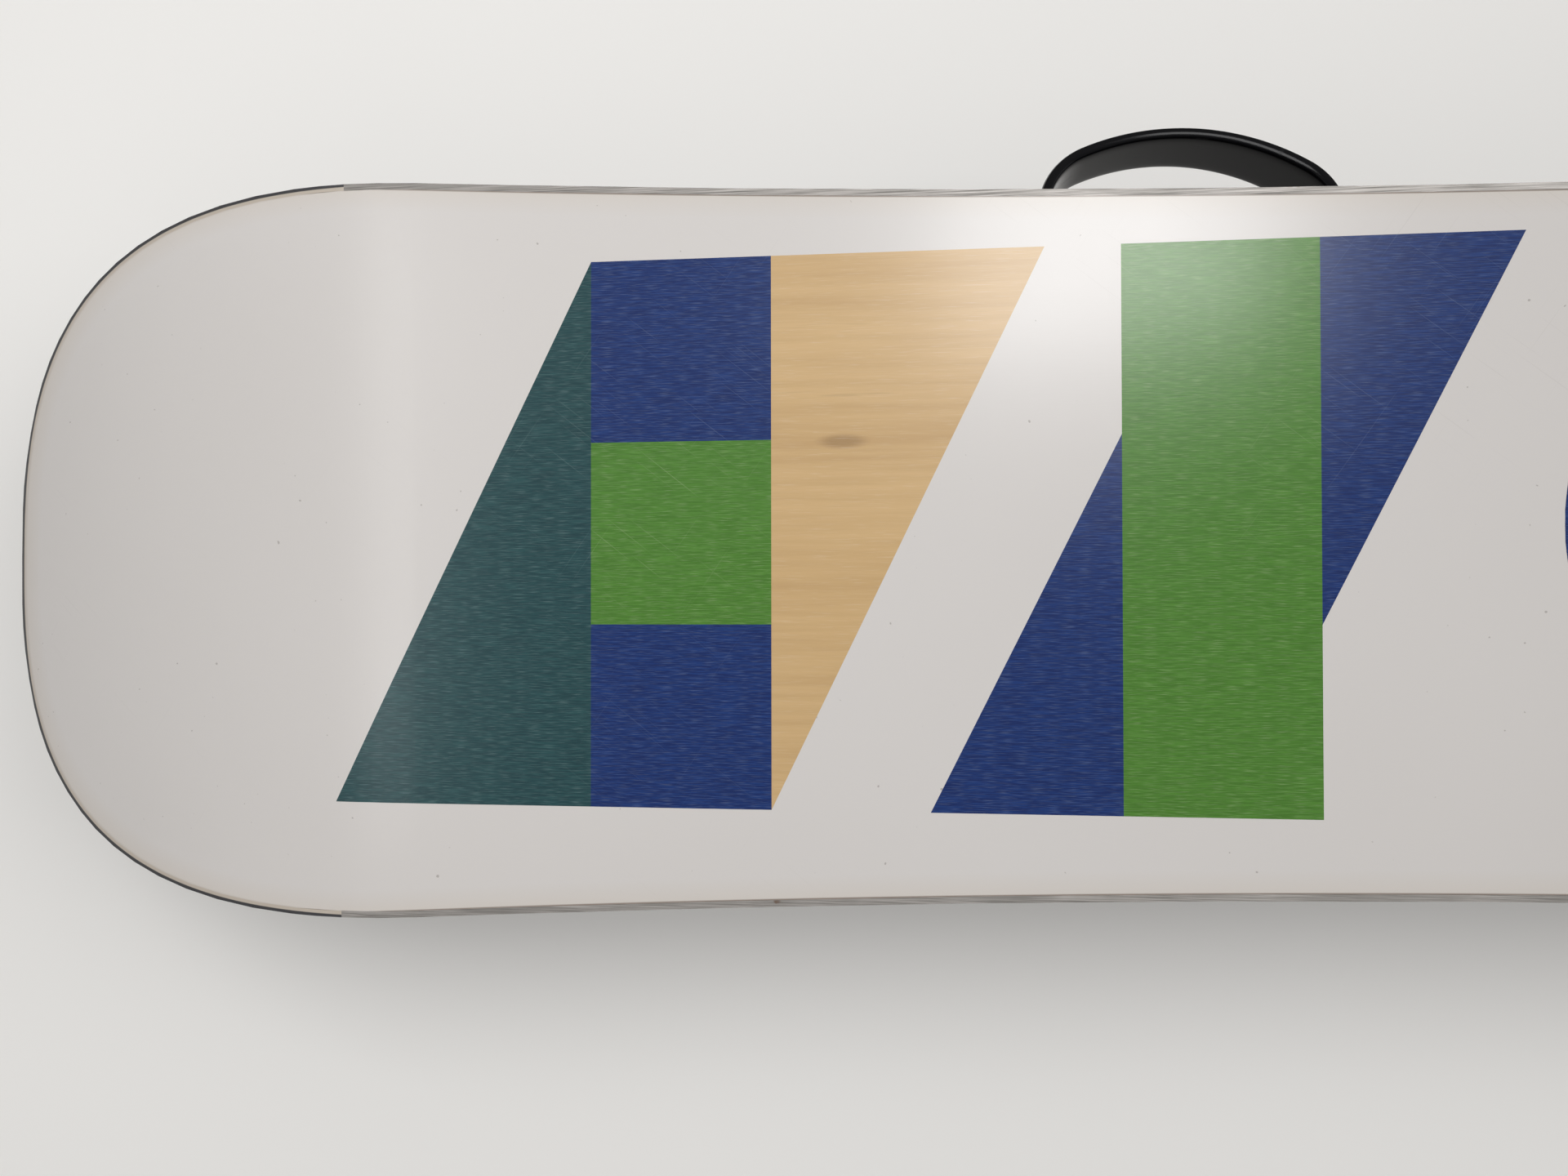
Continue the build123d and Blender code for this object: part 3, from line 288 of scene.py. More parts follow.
def scuffs(f):
    """Sparse thin slanting scratches, only where a broad noise allows them, from 0 to 1."""
    lines = f.noise(1.0, 1.0, 0.4, f.stretched((22.0, 1500.0, 1.0), SCUFF_TURN))
    other = f.noise(1.0, 1.0, 0.4, f.stretched((16.0, 1300.0, 1.0), OTHER_TURN))
    where = f.ramp(f.noise(5.0, 1.0, 0.5), 0.46, 0.74, smooth=True)
    thin = f.math("MAXIMUM", f.ramp(lines, 0.68, 0.78), f.ramp(other, 0.70, 0.80))
    return f.math("MULTIPLY", thin, where)


def waxed(f, tint, marks):
    """The shine of the waxed base over a tint, a little uneven, with the stone's marks in it."""
    rough = f.ramp(f.noise(8.0, 3.0), 0.2, 0.8, BASE_WAX - 0.03, BASE_WAX + 0.035)
    return f.done(Base_Color=tint, Roughness=rough, IOR=1.50, Specular_IOR_Level=BASE_GLOSS,
                  Normal=f.bump(marks, 0.22, MARKS_DEPTH))


f = Finish("white_base")
marks, scratch, inset = ground_marks(f), scuffs(f), to_edge(f)
tint = f.mix(f.ramp(f.noise(4.0, 2.0), 0.2, 0.8, smooth=True), WHITE, WHITE_SHADE)
tint = f.mix(f.ramp(marks, 0.3, 0.7, 0.0, 0.10), tint, WHITE_SHADE)
tint = f.mix(f.ramp(f.noise(420.0, 1.0, 0.3), 0.80, 0.83, 0.0, 0.6), tint, SPECK)
tint = f.mix(f.math("MULTIPLY", scratch, 0.14), tint, SPECK)
tint = f.mix(f.ramp(inset, MARGIN, EDGE_WIDTH, 0.0, 0.30), tint, MARGIN_TINT)
seam = f.ramp(inset, EDGE_WIDTH + SEAM, EDGE_WIDTH + SEAM_CLEAR, 0.0, 0.75)
along = f.math("ABSOLUTE", f.node("SeparateXYZ", {0: f.place}))
beside_steel = f.ramp(along, EDGE_END + STEEL_FADE, EDGE_END - STEEL_FADE, 0.15, 1.0)
tint = f.mix(f.math("MULTIPLY", seam, beside_steel), tint, SEAM_BROWN)
paint(waxed(f, tint, marks), "base_sheet")


# ---- running base: inlaid colours ----
# Blue, green and teal panels of the same sheet, die-cut and pressed in flush. The stone's marks
# show on them as short pale and dark strokes.
INLAYS = (
    ("blue", (0.008, 0.036, 0.168, 1), (0.004, 0.019, 0.108, 1), (0.13, 0.18, 0.32, 1)),
    ("green", (0.082, 0.230, 0.032, 1), (0.060, 0.178, 0.022, 1), (0.30, 0.42, 0.20, 1)),
    ("teal", (0.018, 0.072, 0.078, 1), (0.010, 0.046, 0.054, 1), (0.15, 0.24, 0.24, 1)))

for name, colour, deep, pale in INLAYS:
    f = Finish(name + "_base")
    marks, scratch = ground_marks(f), scuffs(f)
    tint = f.mix(f.ramp(marks, 0.45, 0.58), deep, colour)
    short = f.noise(1.0, 1.0, 0.5, f.stretched((170.0, 3200.0, 1.0), centre=(0.1, 0.2, 0)))
    tint = f.mix(f.ramp(short, 0.52, 0.78, 0.0, 0.42), tint, pale)
    tint = f.mix(f.math("MULTIPLY", scratch, 0.35), tint, pale)
    paint(waxed(f, tint, marks), "base_inlay_" + name)


# ---- running base: clear windows ----
# Clear polyethylene over a light veneer of the core wood. Its grain runs along the board, with
# a few darker lines and one small knot in each window.
WOOD_PALE, WOOD_MID = (0.64, 0.440, 0.220, 1), (0.54, 0.355, 0.168, 1)
WOOD_DARK, GROUND_WAX = (0.27, 0.16, 0.07, 1), (0.86, 0.78, 0.66, 1)
KNOTS = ((-0.405, 0.040, 0), (0.405, -0.040, 0))
KNOT_SIZE = (0.012, 0.0035)

f = Finish("wood_window")
marks = ground_marks(f)
grain = f.noise(1.0, 4.0, 0.6, f.stretched((9.0, 230.0, 20.0)))
bands = f.noise(1.0, 2.0, 0.5, f.stretched((2.5, 34.0, 8.0)))
both = f.math("ADD", f.math("MULTIPLY", grain, 0.55), f.math("MULTIPLY", bands, 0.45))
tint = f.mix(f.ramp(both, 0.36, 0.62), WOOD_MID, WOOD_PALE)
tint = f.mix(f.ramp(grain, 0.64, 0.74, 0.0, 0.35), tint, WOOD_DARK)
for knot in KNOTS:
    reach = f.node("VectorMath", {0: f.stretched((1 / KNOT_SIZE[0], 1 / KNOT_SIZE[1], 1.0),
                                                 centre=knot), 1: (1, 1, 0)}, operation="MULTIPLY")
    reach = f.node("VectorMath", {0: reach}, 1, operation="LENGTH")
    tint = f.mix(f.ramp(reach, 0.35, 1.0, 0.55, 0.0, smooth=True), tint, WOOD_DARK)
tint = f.mix(f.ramp(marks, 0.56, 0.72, 0.0, 0.16), tint, GROUND_WAX)
paint(waxed(f, tint, marks), "base_window")


# ---- steel edges ----
# Hardened steel strip, pressed round the base and ground flush with it. It is scratched along
# its length, darker in patches, and has small spots of rust.
STEEL, STEEL_DARK = (0.32, 0.305, 0.29, 1), (0.13, 0.125, 0.115, 1)
RUST = (0.11, 0.065, 0.04, 1)

f = Finish("edge_steel")
streak = f.noise(1.0, 4.0, 0.65, f.stretched((30.0, 2600.0, 900.0)))
patch = f.noise(18.0, 3.0)
tint = f.mix(f.ramp(streak, 0.40, 0.66), STEEL, STEEL_DARK)
tint = f.mix(f.ramp(patch, 0.52, 0.70, 0.0, 0.45), tint, STEEL_DARK)
damp = f.ramp(f.noise(11.0, 1.0), 0.54, 0.60)
spots = f.math("MULTIPLY", f.ramp(f.noise(150.0, 2.0), 0.66, 0.72), damp)
tint = f.mix(spots, tint, RUST)
metal = f.ramp(spots, 0.0, 1.0, 1.0, 0.25)
paint(f.done(Base_Color=tint, Metallic=metal, Roughness=f.ramp(streak, 0.3, 0.7, 0.50, 0.68),
             Normal=f.bump(streak, 0.4, 0.00004)), "steel_edges")


# ---- core, laminates, sidewalls and tip spacers ----
# Laminated wood strips between two layers of glass fibre in epoxy, closed by black plastic
# sidewalls and tip spacers that are machined flush with the outline.
GLASS_DEEP, GLASS_PALE = (0.30, 0.28, 0.22, 1), (0.42, 0.40, 0.32, 1)
STRIP_DEEP, STRIP_PALE = (0.55, 0.38, 0.20, 1), (0.66, 0.50, 0.30, 1)
SIDEWALL_BLACK, RESIN_WHITE = (0.016, 0.016, 0.019, 1), (0.50, 0.44, 0.37, 1)
TIP_RIM, TIP_RIM_FADE = 0.0012, 0.0003
PLASTIC_GLOSS, PLASTIC_WEAR, BEVEL_SAMPLES = 0.30, 0.25, 6

f = Finish("laminate")
weave = f.noise(1.0, 2.0, 0.5, f.stretched((1500.0, 300.0, 300.0)))
paint(f.done(Base_Color=f.mix(weave, GLASS_DEEP, GLASS_PALE), Roughness=0.5,
             Normal=f.bump(weave, 0.3, 0.0001)), "lower_laminate", "upper_laminate")
f = Finish("core_wood")
strips = f.noise(1.0, 1.0, 0.2, f.stretched((0.5, 60.0, 0.5)))
grain = f.noise(1.0, 5.0, 0.6, f.stretched((8.0, 400.0, 400.0)))
tint = f.mix(f.ramp(strips, 0.4, 0.6), STRIP_DEEP, STRIP_PALE)
paint(f.done(Base_Color=f.mix(f.ramp(grain, 0.5, 0.8, 0.0, 0.4), tint, WOOD_DARK), Roughness=0.6,
             Normal=f.bump(grain, 0.3, 0.0001)), "wood_core")


def moulded(name, colour, roughness, grain=900.0, depth=0.00003, rounded=0.0006):
    """Moulded plastic or rubber: a fine texture, soft edges and slightly paler rubbed places."""
    f = Finish(name)
    rub = f.ramp(f.noise(45.0, 5.0, 0.6), 0.52, 0.75, 0.0, PLASTIC_WEAR)
    pale = tuple(min(1.0, 2.2 * c + 0.012) for c in colour[:3]) + (1,)
    uneven = f.ramp(f.noise(70.0, 4.0), 0.3, 0.7, roughness - 0.05, roughness + 0.07)
    normal = f.node("Bevel", {"Radius": rounded}, samples=BEVEL_SAMPLES) if rounded else None
    return f.done(Base_Color=f.mix(rub, colour, pale), Roughness=uneven,
                  Specular_IOR_Level=PLASTIC_GLOSS,
                  Normal=f.bump(f.noise(grain, 2.0), 0.35, depth, normal))


paint(moulded("sidewall_black", SIDEWALL_BLACK, 0.42, rounded=0.0004), "sidewalls")
f = Finish("tip_plastic")
inset = to_edge(f)
tint = f.mix(f.ramp(inset, TIP_RIM, TIP_RIM + TIP_RIM_FADE), SIDEWALL_BLACK, RESIN_WHITE)
paint(f.done(Base_Color=tint, Roughness=0.38, Normal=f.bump(f.noise(900.0, 2.0), 0.3, 0.00003)),
      "tip_spacers")


# ---- topsheet and inserts ----
# A satin dark film, bonded over the upper laminate, with a fine flake in the lacquer. The
# threaded inserts are pressed through from below and stand flush with it.
TOP_DARK, TOP_DEEP = (0.030, 0.033, 0.040, 1), (0.014, 0.015, 0.019, 1)
FLAKE, HAIR_TURN = (0.16, 0.17, 0.19, 1), math.radians(14)

f = Finish("topsheet")
flake = f.ramp(f.noise(2600.0, 1.0), 0.62, 0.75, 0.0, 0.35)
tint = f.mix(f.ramp(f.noise(3.0, 3.0), 0.3, 0.7), TOP_DEEP, TOP_DARK)
tint = f.mix(flake, tint, FLAKE)
hair = f.noise(1.0, 2.0, 0.5, f.stretched((20.0, 1400.0, 30.0), HAIR_TURN))
paint(f.done(Base_Color=tint, Roughness=f.ramp(hair, 0.35, 0.75, 0.29, 0.42), Coat_Weight=0.3,
             Coat_Roughness=0.2, Normal=f.bump(hair, 0.15, 0.00003)), "topsheet")


def machined(name, colour, roughness, rounded=0.0004):
    """Metal with fine even tool marks, darker dull patches and softened edges."""
    f = Finish(name)
    tooled = f.noise(400.0, 3.0, 0.6)
    dark = tuple(0.55 * c for c in colour[:3]) + (1,)
    tint = f.mix(f.ramp(f.noise(60.0, 3.0), 0.45, 0.75, 0.0, 0.5), colour, dark)
    uneven = f.ramp(tooled, 0.3, 0.7, roughness - 0.07, roughness + 0.09)
    soft_edge = f.node("Bevel", {"Radius": rounded}, samples=BEVEL_SAMPLES)
    return f.done(Base_Color=tint, Metallic=1.0, Roughness=uneven,
                  Normal=f.bump(tooled, 0.25, 0.00003, soft_edge))


paint(machined("insert_steel", (0.55, 0.55, 0.55, 1), 0.36), "threaded_inserts")


# ---- stomp pad ----
# One moulding of black rubber with rows of round studs, stuck between the bindings on a thin
# sheet of grey foam tape. Boots polish the studs' tops and leave pale dust between them.
STUD_TOPS, STUD_FOOT, STUD_ROUNDING = -0.0162, -0.0125, 0.0008
STUD_RUBBER, DUST = (0.017, 0.017, 0.018, 1), (0.20, 0.19, 0.18, 1)

f = Finish("stomp_rubber")
height = f.node("SeparateXYZ", {0: f.place}, 2)
patches = f.ramp(f.noise(55.0, 5.0, 0.6), 0.42, 0.7)
dusty = f.math("MULTIPLY", f.ramp(height, STUD_TOPS, STUD_FOOT), patches)
tint = f.mix(f.math("MULTIPLY", dusty, 0.30), STUD_RUBBER, DUST)
rounded = f.node("Bevel", {"Radius": STUD_ROUNDING}, samples=BEVEL_SAMPLES)
paint(f.done(Base_Color=tint, Roughness=f.ramp(height, STUD_TOPS, STUD_FOOT, 0.36, 0.62),
             Normal=f.bump(f.noise(1500.0, 2.0), 0.4, 0.00004, rounded)), "stomp_pad")
paint(moulded("adhesive_tape", (0.22, 0.22, 0.22, 1), 0.7, rounded=0.0), "stomp_pad_adhesive")


# ---- baseplates and discs ----
# Glass-filled nylon trays with a fine moulded grain, and the lean blocks of the same. A round
# disc of greyer nylon clamps each tray to the topsheet with four cross-head screws.
NYLON_BLACK, DISC_GREY = (0.017, 0.017, 0.019, 1), (0.045, 0.046, 0.050, 1)
SIDES = ("rear", "front")


def each(*names):
    """The construction nodes of that name on both bindings."""
    return [side + "_" + name for name in names for side in SIDES]


paint(moulded("baseplate_nylon", NYLON_BLACK, 0.46, grain=1300.0, depth=0.00006, rounded=0.0009),
      *each("baseplate", "lean_block"))
paint(moulded("disc_nylon", DISC_GREY, 0.40, rounded=0.0007), *each("disc"))


# ---- bolts and screws ----
# Zinc-plated steel with fine tool marks and softened rims. They hold the discs, the heel loops,
# the highbacks and the straps.
paint(machined("bolt_steel", (0.50, 0.50, 0.51, 1), 0.36, rounded=0.0006),
      *each("disc_screws", "loop_bolts", "pivot_bolts", "strap_bolts"))


# ---- footbeds ----
# Moulded foam beds, 5 mm thick, glued in the trays between the side walls. Their top is crowned
# at the rim and cut by crossing grooves that drain the snow.
STANCE_HALF, STANCE_ANGLE, BOARD_THICKNESS = 280.0, math.radians(6.0), 8.0
BED_HALF_WIDTH, BED_BACK, BED_FRONT, BED_LOW, BED_HIGH = 47.6, -105.6, 61.6, 8.1, 13.0
BED_GRID, BED_GROOVE, BED_GROOVE_WIDTH, BED_GROOVE_PITCH = (150, 120), 0.9, 0.9, 15.0
FOAM_DEEP, FOAM_PALE = (0.030, 0.031, 0.034, 1), (0.055, 0.056, 0.060, 1)


def power_wave(angle, power):
    """Cosine and sine bent to a superellipse: 2 is a circle, and higher is more square."""
    c, s = np.cos(angle), np.sin(angle)
    return np.sign(c) * np.abs(c) ** (2 / power), np.sign(s) * np.abs(s) ** (2 / power)


def loft_faces(rows, columns, closed=True, count=1):
    """Quads between neighbouring rings of points, each ring closed or open, for count lofts."""
    index = np.arange(rows * columns).reshape(rows, columns)
    beside = np.roll(index, -1, axis=1)
    quads = np.stack([index[:-1], beside[:-1], beside[1:], index[1:]], axis=-1)
    one = (quads if closed else quads[:, :-1]).reshape(-1, 4)
    return (one + (np.arange(count) * rows * columns)[:, None, None]).reshape(-1, 4)


def on_board(points, side):
    """Binding points (across, towards the toes, up; mm) to the board's frame in metres: turned
    by the stance angle, moved out to the disc, turned base up, and mirrored for the front."""
    x, y, z = np.moveaxis(np.asarray(points, float), -1, 0)
    c, s = math.cos(STANCE_ANGLE), math.sin(STANCE_ANGLE)
    along = x * c + y * s + STANCE_HALF
    if side == "front":
        along = -along
    return np.stack([along, -(y * c - x * s), -(z + BOARD_THICKNESS)], axis=-1) / 1000


def put_on(side, name, points, faces, material, body, replaces=None):
    """Makes a binding's piece at its side and ties it to its body, node and finish."""
    piece = make_mesh(side + "_" + name, on_board(points, side), faces, material)
    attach(piece, body if body == "board" else side + "_" + body)
    if replaces:
        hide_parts(side + "_" + replaces)


def pillow(along, across, round_power, edge_power):
    """A closed pad as grids on [-1, 1]: where each point lies along and across, and its height
    from -1 to 1. The outline is a superellipse and so is every cross-section."""
    u = np.sin(np.linspace(-np.pi / 2, np.pi / 2, along))[:, None]
    width = (1 - np.abs(u) ** round_power) ** (1 / round_power)
    c, s = power_wave(np.linspace(0, 2 * np.pi, across, endpoint=False)[None, :], edge_power)
    return u + 0 * c, width * c, s * np.minimum(1.0, 3.0 * width) + 0 * u


f = Finish("foam")
pores = f.node("TexVoronoi", {"Vector": f.place, "Scale": 900.0})
foam = f.done(Base_Color=f.mix(f.noise(60.0, 4.0), FOAM_DEEP, FOAM_PALE), Roughness=0.85,
              Normal=f.bump(pores, 0.5, 0.0002))

u, v, h = pillow(*BED_GRID, 14.0, 9.0)
bed_y = (BED_BACK + BED_FRONT) / 2 + (BED_FRONT - BED_BACK) / 2 * u
bed_x = BED_HALF_WIDTH * v
bed_z = (BED_LOW + BED_HIGH) / 2 + (BED_HIGH - BED_LOW) / 2 * h
crossing = np.minimum(np.abs(((bed_x + bed_y) / BED_GROOVE_PITCH) % 1 - 0.5),
                      np.abs(((bed_x - bed_y) / BED_GROOVE_PITCH) % 1 - 0.5)) * BED_GROOVE_PITCH
bed_z -= BED_GROOVE * np.exp(-(crossing / BED_GROOVE_WIDTH) ** 2) * (h > 0.5)
bed_points = np.stack([bed_x, bed_y, bed_z], axis=-1)
for side in SIDES:
    put_on(side, "foam_bed", bed_points, loft_faces(*BED_GRID), foam, "board",
           "footbed")


# ---- gas pedals ----
# Rubber-faced toe ramps that slide forward on a tongue. Seven half-round ribs on the slope grip
# the boot's sole.
RAMP_BACK, RAMP_CREST, RAMP_LOW, RAMP_HIGH = 68.0, 106.0, 13.15, 17.15
RIB_HALF, RIB_RADIUS, RIB_COUNT, RIB_GRID = 40.0, 1.1, 7, (24, 20)
RIB_FIRST, RIB_LAST = 72.0, 104.0

rubber = moulded("pedal_rubber", (0.022, 0.022, 0.022, 1), 0.62, depth=0.00006, rounded=0.0009)
paint(rubber, *each("gas_pedal"))
turn = np.linspace(0, 2 * np.pi, RIB_GRID[1], endpoint=False)
rib_u = np.sin(np.linspace(-np.pi / 2, np.pi / 2, RIB_GRID[0]))[:, None]
rib_round = RIB_RADIUS * (1 - np.abs(rib_u) ** 12) ** 0.5
rib_y = np.linspace(RIB_FIRST, RIB_LAST, RIB_COUNT)[:, None, None]
rib_z = RAMP_LOW + (rib_y - RAMP_BACK) / (RAMP_CREST - RAMP_BACK) * (RAMP_HIGH - RAMP_LOW)
rib_points = np.stack(np.broadcast_arrays(RIB_HALF * rib_u + 0 * turn + 0 * rib_y,
                                          rib_y + rib_round * np.cos(turn),
                                          rib_z + rib_round * np.sin(turn)), axis=-1)
rib_faces = loft_faces(*RIB_GRID, count=RIB_COUNT)
for side in SIDES:
    put_on(side, "pedal_ribs", rib_points, rib_faces, rubber, "gas_pedal")


# ---- heel loops ----
# Injected nylon hoops, painted gloss black: a band 5 mm thick that runs from the side walls
# up and round the heel. Its rims are rounded and carry a thin raised bead on the outside.
LOOP_HALF, LOOP_REAR, LOOP_REAR_RADIUS, LOOP_CORNER, LOOP_WALL = 61.5, 175.0, 95.0, 30.0, 5.0
LOOP_FRONT, LOOP_GRID, LOOP_CLOSE, LOOP_GAP = -18.0, (260, 56), 7.0, 0.15
BEAD_HEIGHT, BEAD_AT, BEAD_WIDTH = 0.55, 0.80, 0.07
LOOP_BLACK, LOOP_SCUFFED = (0.0045, 0.0045, 0.0055, 1), (0.05, 0.05, 0.055, 1)
CORNER_STEPS, APEX_STEPS, LINE_BLUR, BLUR_STEPS = 60, 160, 5.0, 11
LOOP_LOW_LINE = ((-18, 6), (-78, 6), (-90, 9), (-112, 25), (-124, 30), (-175, 42))
LOOP_HIGH_LINE = ((-18, 25), (-46, 31), (-58, 36), (-82, 52), (-96, 57), (-124, 67), (-136, 69.2),
                  (-175, 76))


def u_line(half, apex, apex_radius, corner_radius, left, right, count):
    """Points and outward directions along a U: a leg, a corner arc, the apex arc, a corner arc
    and a leg. The legs lie at x = -half and +half and end at y = left and right; the apex is
    at y = -apex. Evenly spaced by length, which comes third."""
    across = half - corner_radius
    centre = apex_radius - apex
    corner = centre - math.sqrt((apex_radius - corner_radius) ** 2 - across ** 2)
    swing = math.atan2(centre - corner, across)
    small = np.linspace(0, swing, CORNER_STEPS)
    large = np.linspace(swing, np.pi - swing, APEX_STEPS)
    right_arc = np.stack([across + corner_radius * np.cos(small),
                          corner - corner_radius * np.sin(small)], axis=1)
    apex_arc = np.stack([apex_radius * np.cos(large), centre - apex_radius * np.sin(large)], axis=1)
    left_arc = right_arc[::-1] * (-1, 1)
    path = np.concatenate([[(half, right)], right_arc, apex_arc[1:-1], left_arc, [(-half, left)]])
    facing = np.concatenate([[0.0], small, large[1:-1], np.pi - small[::-1], [np.pi]])
    length = np.r_[0, np.cumsum(np.hypot(*np.diff(path, axis=0).T))]
    at = np.linspace(0, length[-1], count)
    x, y, angle = (np.interp(at, length, q) for q in (path[:, 0], path[:, 1], facing))
    return np.stack([x, y], axis=1), np.stack([np.cos(angle), -np.sin(angle)], axis=1), at


def smooth_line(corners, y):
    """Height at y along a line of corners, with each corner rounded by a running average."""
    at, height = np.array(sorted(corners), float).T
    shifts = np.linspace(-LINE_BLUR, LINE_BLUR, BLUR_STEPS)
    return np.mean([np.interp(y + shift, at, height) for shift in shifts], axis=0)


def round_ends(at, reach):
    """A band's opening along its length: 0 at both ends, then a quarter circle up to 1."""
    end = np.minimum(at, at[-1] - at) / reach
    return np.sqrt(np.clip(1 - (1 - np.minimum(end, 1)) ** 2, 0, 1))


f = Finish("loop_gloss")
orange = f.noise(260.0, 2.0)
scuff = f.ramp(f.noise(1.0, 2.0, 0.5, f.stretched((60.0, 60.0, 900.0))), 0.66, 0.76, 0.0, 0.25)
gloss = f.done(Base_Color=f.mix(scuff, LOOP_BLACK, LOOP_SCUFFED),
               Roughness=f.math("ADD", 0.13, f.math("MULTIPLY", scuff, 0.9)), IOR=1.45,
               Specular_IOR_Level=0.06, Normal=f.bump(orange, 0.08, 0.00008))

middle = LOOP_WALL / 2
path, out, at = u_line(LOOP_HALF - middle, LOOP_REAR - middle, LOOP_REAR_RADIUS - middle,
                       LOOP_CORNER - middle, LOOP_FRONT, LOOP_FRONT, LOOP_GRID[0])
c, s = power_wave(np.linspace(0, 2 * np.pi, LOOP_GRID[1], endpoint=False), 7.0)
low, high = (smooth_line(line, path[:, 1])[:, None] for line in (LOOP_LOW_LINE, LOOP_HIGH_LINE))
closing = round_ends(at, LOOP_CLOSE)[:, None]
bead = BEAD_HEIGHT * np.exp(-((np.abs(s) - BEAD_AT) / BEAD_WIDTH) ** 2) * (c > 0)
reach = middle * c[None, :] * np.minimum(1, closing * 1.6) + bead * closing
reach = np.minimum(reach, middle) - LOOP_GAP * (c > 0)
loop_points = np.stack([path[:, 0, None] + out[:, 0, None] * reach,
                        path[:, 1, None] + out[:, 1, None] * reach,
                        (low + high) / 2 + (high - low) / 2 * s * closing], axis=-1)
for side in SIDES:
    put_on(side, "heel_hoop", loop_points, loft_faces(*LOOP_GRID), gloss, "board",
           "heel_loop")


# ---- highbacks ----
# Moulded nylon shells that turn on the pivot bolts, folded flat here. A satin outside, with the
# slot of the lean block and two long vents. A soft lining covers the calf side of the top half.
PIVOT_Y, PIVOT_Z, FOLD_TILT = -106.0, 40.0, math.radians(2.993)
SHELL_HALF, SPINE_DEPTH, REAR_RADIUS, SHELL_CORNER, SHELL_WALL = 56.1, 63.0, 85.0, 28.0, 3.5
LINING, LINING_LOW, LINING_HIGH, LINING_FRONT, LINING_GAP = 5.0, 85.0, 199.0, 34.0, 0.1
LINING_SIDE = ((70, 56.5), (85, 53.5), (146, 42.5), (170, 38.0), (186, 31.0), (196, 21.0),
               (200, 12.0))
LINING_GRID, LINING_PATH = (110, 90), 400
CHANNELS, CHANNEL_DEPTH, CHANNEL_WIDTH = (104.0, 123.0, 142.0, 161.0, 180.0), 2.0, 1.6
CHANNEL_REACH = 0.86

paint(moulded("highback_nylon", (0.013, 0.013, 0.015, 1), 0.36, grain=1500.0, rounded=0.0009),
      *each("highback"))


def folded(points):
    """Upright highback points (across, forward, along the spine; pivot at 0) laid in the fold."""
    x, y, z = np.moveaxis(np.asarray(points, float), -1, 0)
    c, s = math.cos(FOLD_TILT - np.pi / 2), math.sin(FOLD_TILT - np.pi / 2)
    return np.stack([x, y * c - z * s + PIVOT_Y, y * s + z * c + PIVOT_Z], axis=-1)


def woven(name, dark, pale, threads):
    """Cloth: two crossing sets of threads on the piece's own coordinates, with a soft sheen."""
    f = Finish(name)
    warp, weft = (f.node("TexWave", {"Vector": f.place, "Scale": threads, "Distortion": 0.4,
                                     "Detail": 1.0}, 1, bands_direction=axis) for axis in "XY")
    cloth = f.math("MAXIMUM", warp, weft)
    faded = f.math("MULTIPLY", cloth, f.ramp(f.noise(50.0, 3.0), 0.3, 0.7, 0.5, 1.0))
    return f.done(Base_Color=f.mix(faded, dark, pale), Roughness=0.8, Sheen_Weight=0.25,
                  Sheen_Roughness=0.5, Normal=f.bump(cloth, 0.4, 0.00012))


lining_cloth = woven("lining_cloth", (0.022, 0.023, 0.026, 1), (0.060, 0.061, 0.066, 1), 420.0)
inner = SHELL_WALL + LINING_GAP
path, out, at = u_line(SHELL_HALF - inner, SPINE_DEPTH - inner, REAR_RADIUS - inner,
                       SHELL_CORNER - inner, -LINING_FRONT, -LINING_FRONT, LINING_PATH)
rise = -np.cos(np.linspace(0, np.pi, LINING_GRID[0]))
spine = (LINING_LOW + LINING_HIGH) / 2 + (LINING_HIGH - LINING_LOW) / 2 * rise
side_limit = np.interp(spine, *np.array(LINING_SIDE).T)
half_length = np.array([at[-1] / 2 - at[np.argmax(path[:, 0] <= limit)] for limit in side_limit])
half_length = np.minimum(half_length, at[-1] / 2)
aside = np.sin(np.linspace(-np.pi / 2, np.pi / 2, LINING_GRID[1]))
place_at = at[-1] / 2 + aside[None, :] * half_length[:, None]
x, y, out_x, out_y = (np.interp(place_at, at, q) for q in (*path.T, *out.T))
swell = (1 - np.abs(aside)[None, :] ** 10) * (1 - np.abs(rise)[:, None] ** 10)
thick = LINING * np.clip(swell, 0, 1) ** 0.4
groove = sum(np.exp(-((spine - place) / CHANNEL_WIDTH) ** 2) for place in CHANNELS)[:, None]
groove = np.clip(groove, 0, 1) * (np.abs(aside) < CHANNEL_REACH)[None, :]
thick = thick - CHANNEL_DEPTH * groove * np.clip(thick / LINING, 0, 1)
z = spine[:, None] + 0 * x
outer = np.stack([x, y, z], axis=-1)
inside = np.stack([x - out_x * thick, y - out_y * thick, z], axis=-1)
lining_points = folded(np.concatenate([outer[None], inside[None]]))
back = loft_faces(*LINING_GRID, closed=False)
lining_faces = np.concatenate([back, back[:, ::-1] + spine.size * aside.size])
for side in SIDES:
    put_on(side, "lining", lining_points, lining_faces, lining_cloth, "highback",
           "highback_liner")


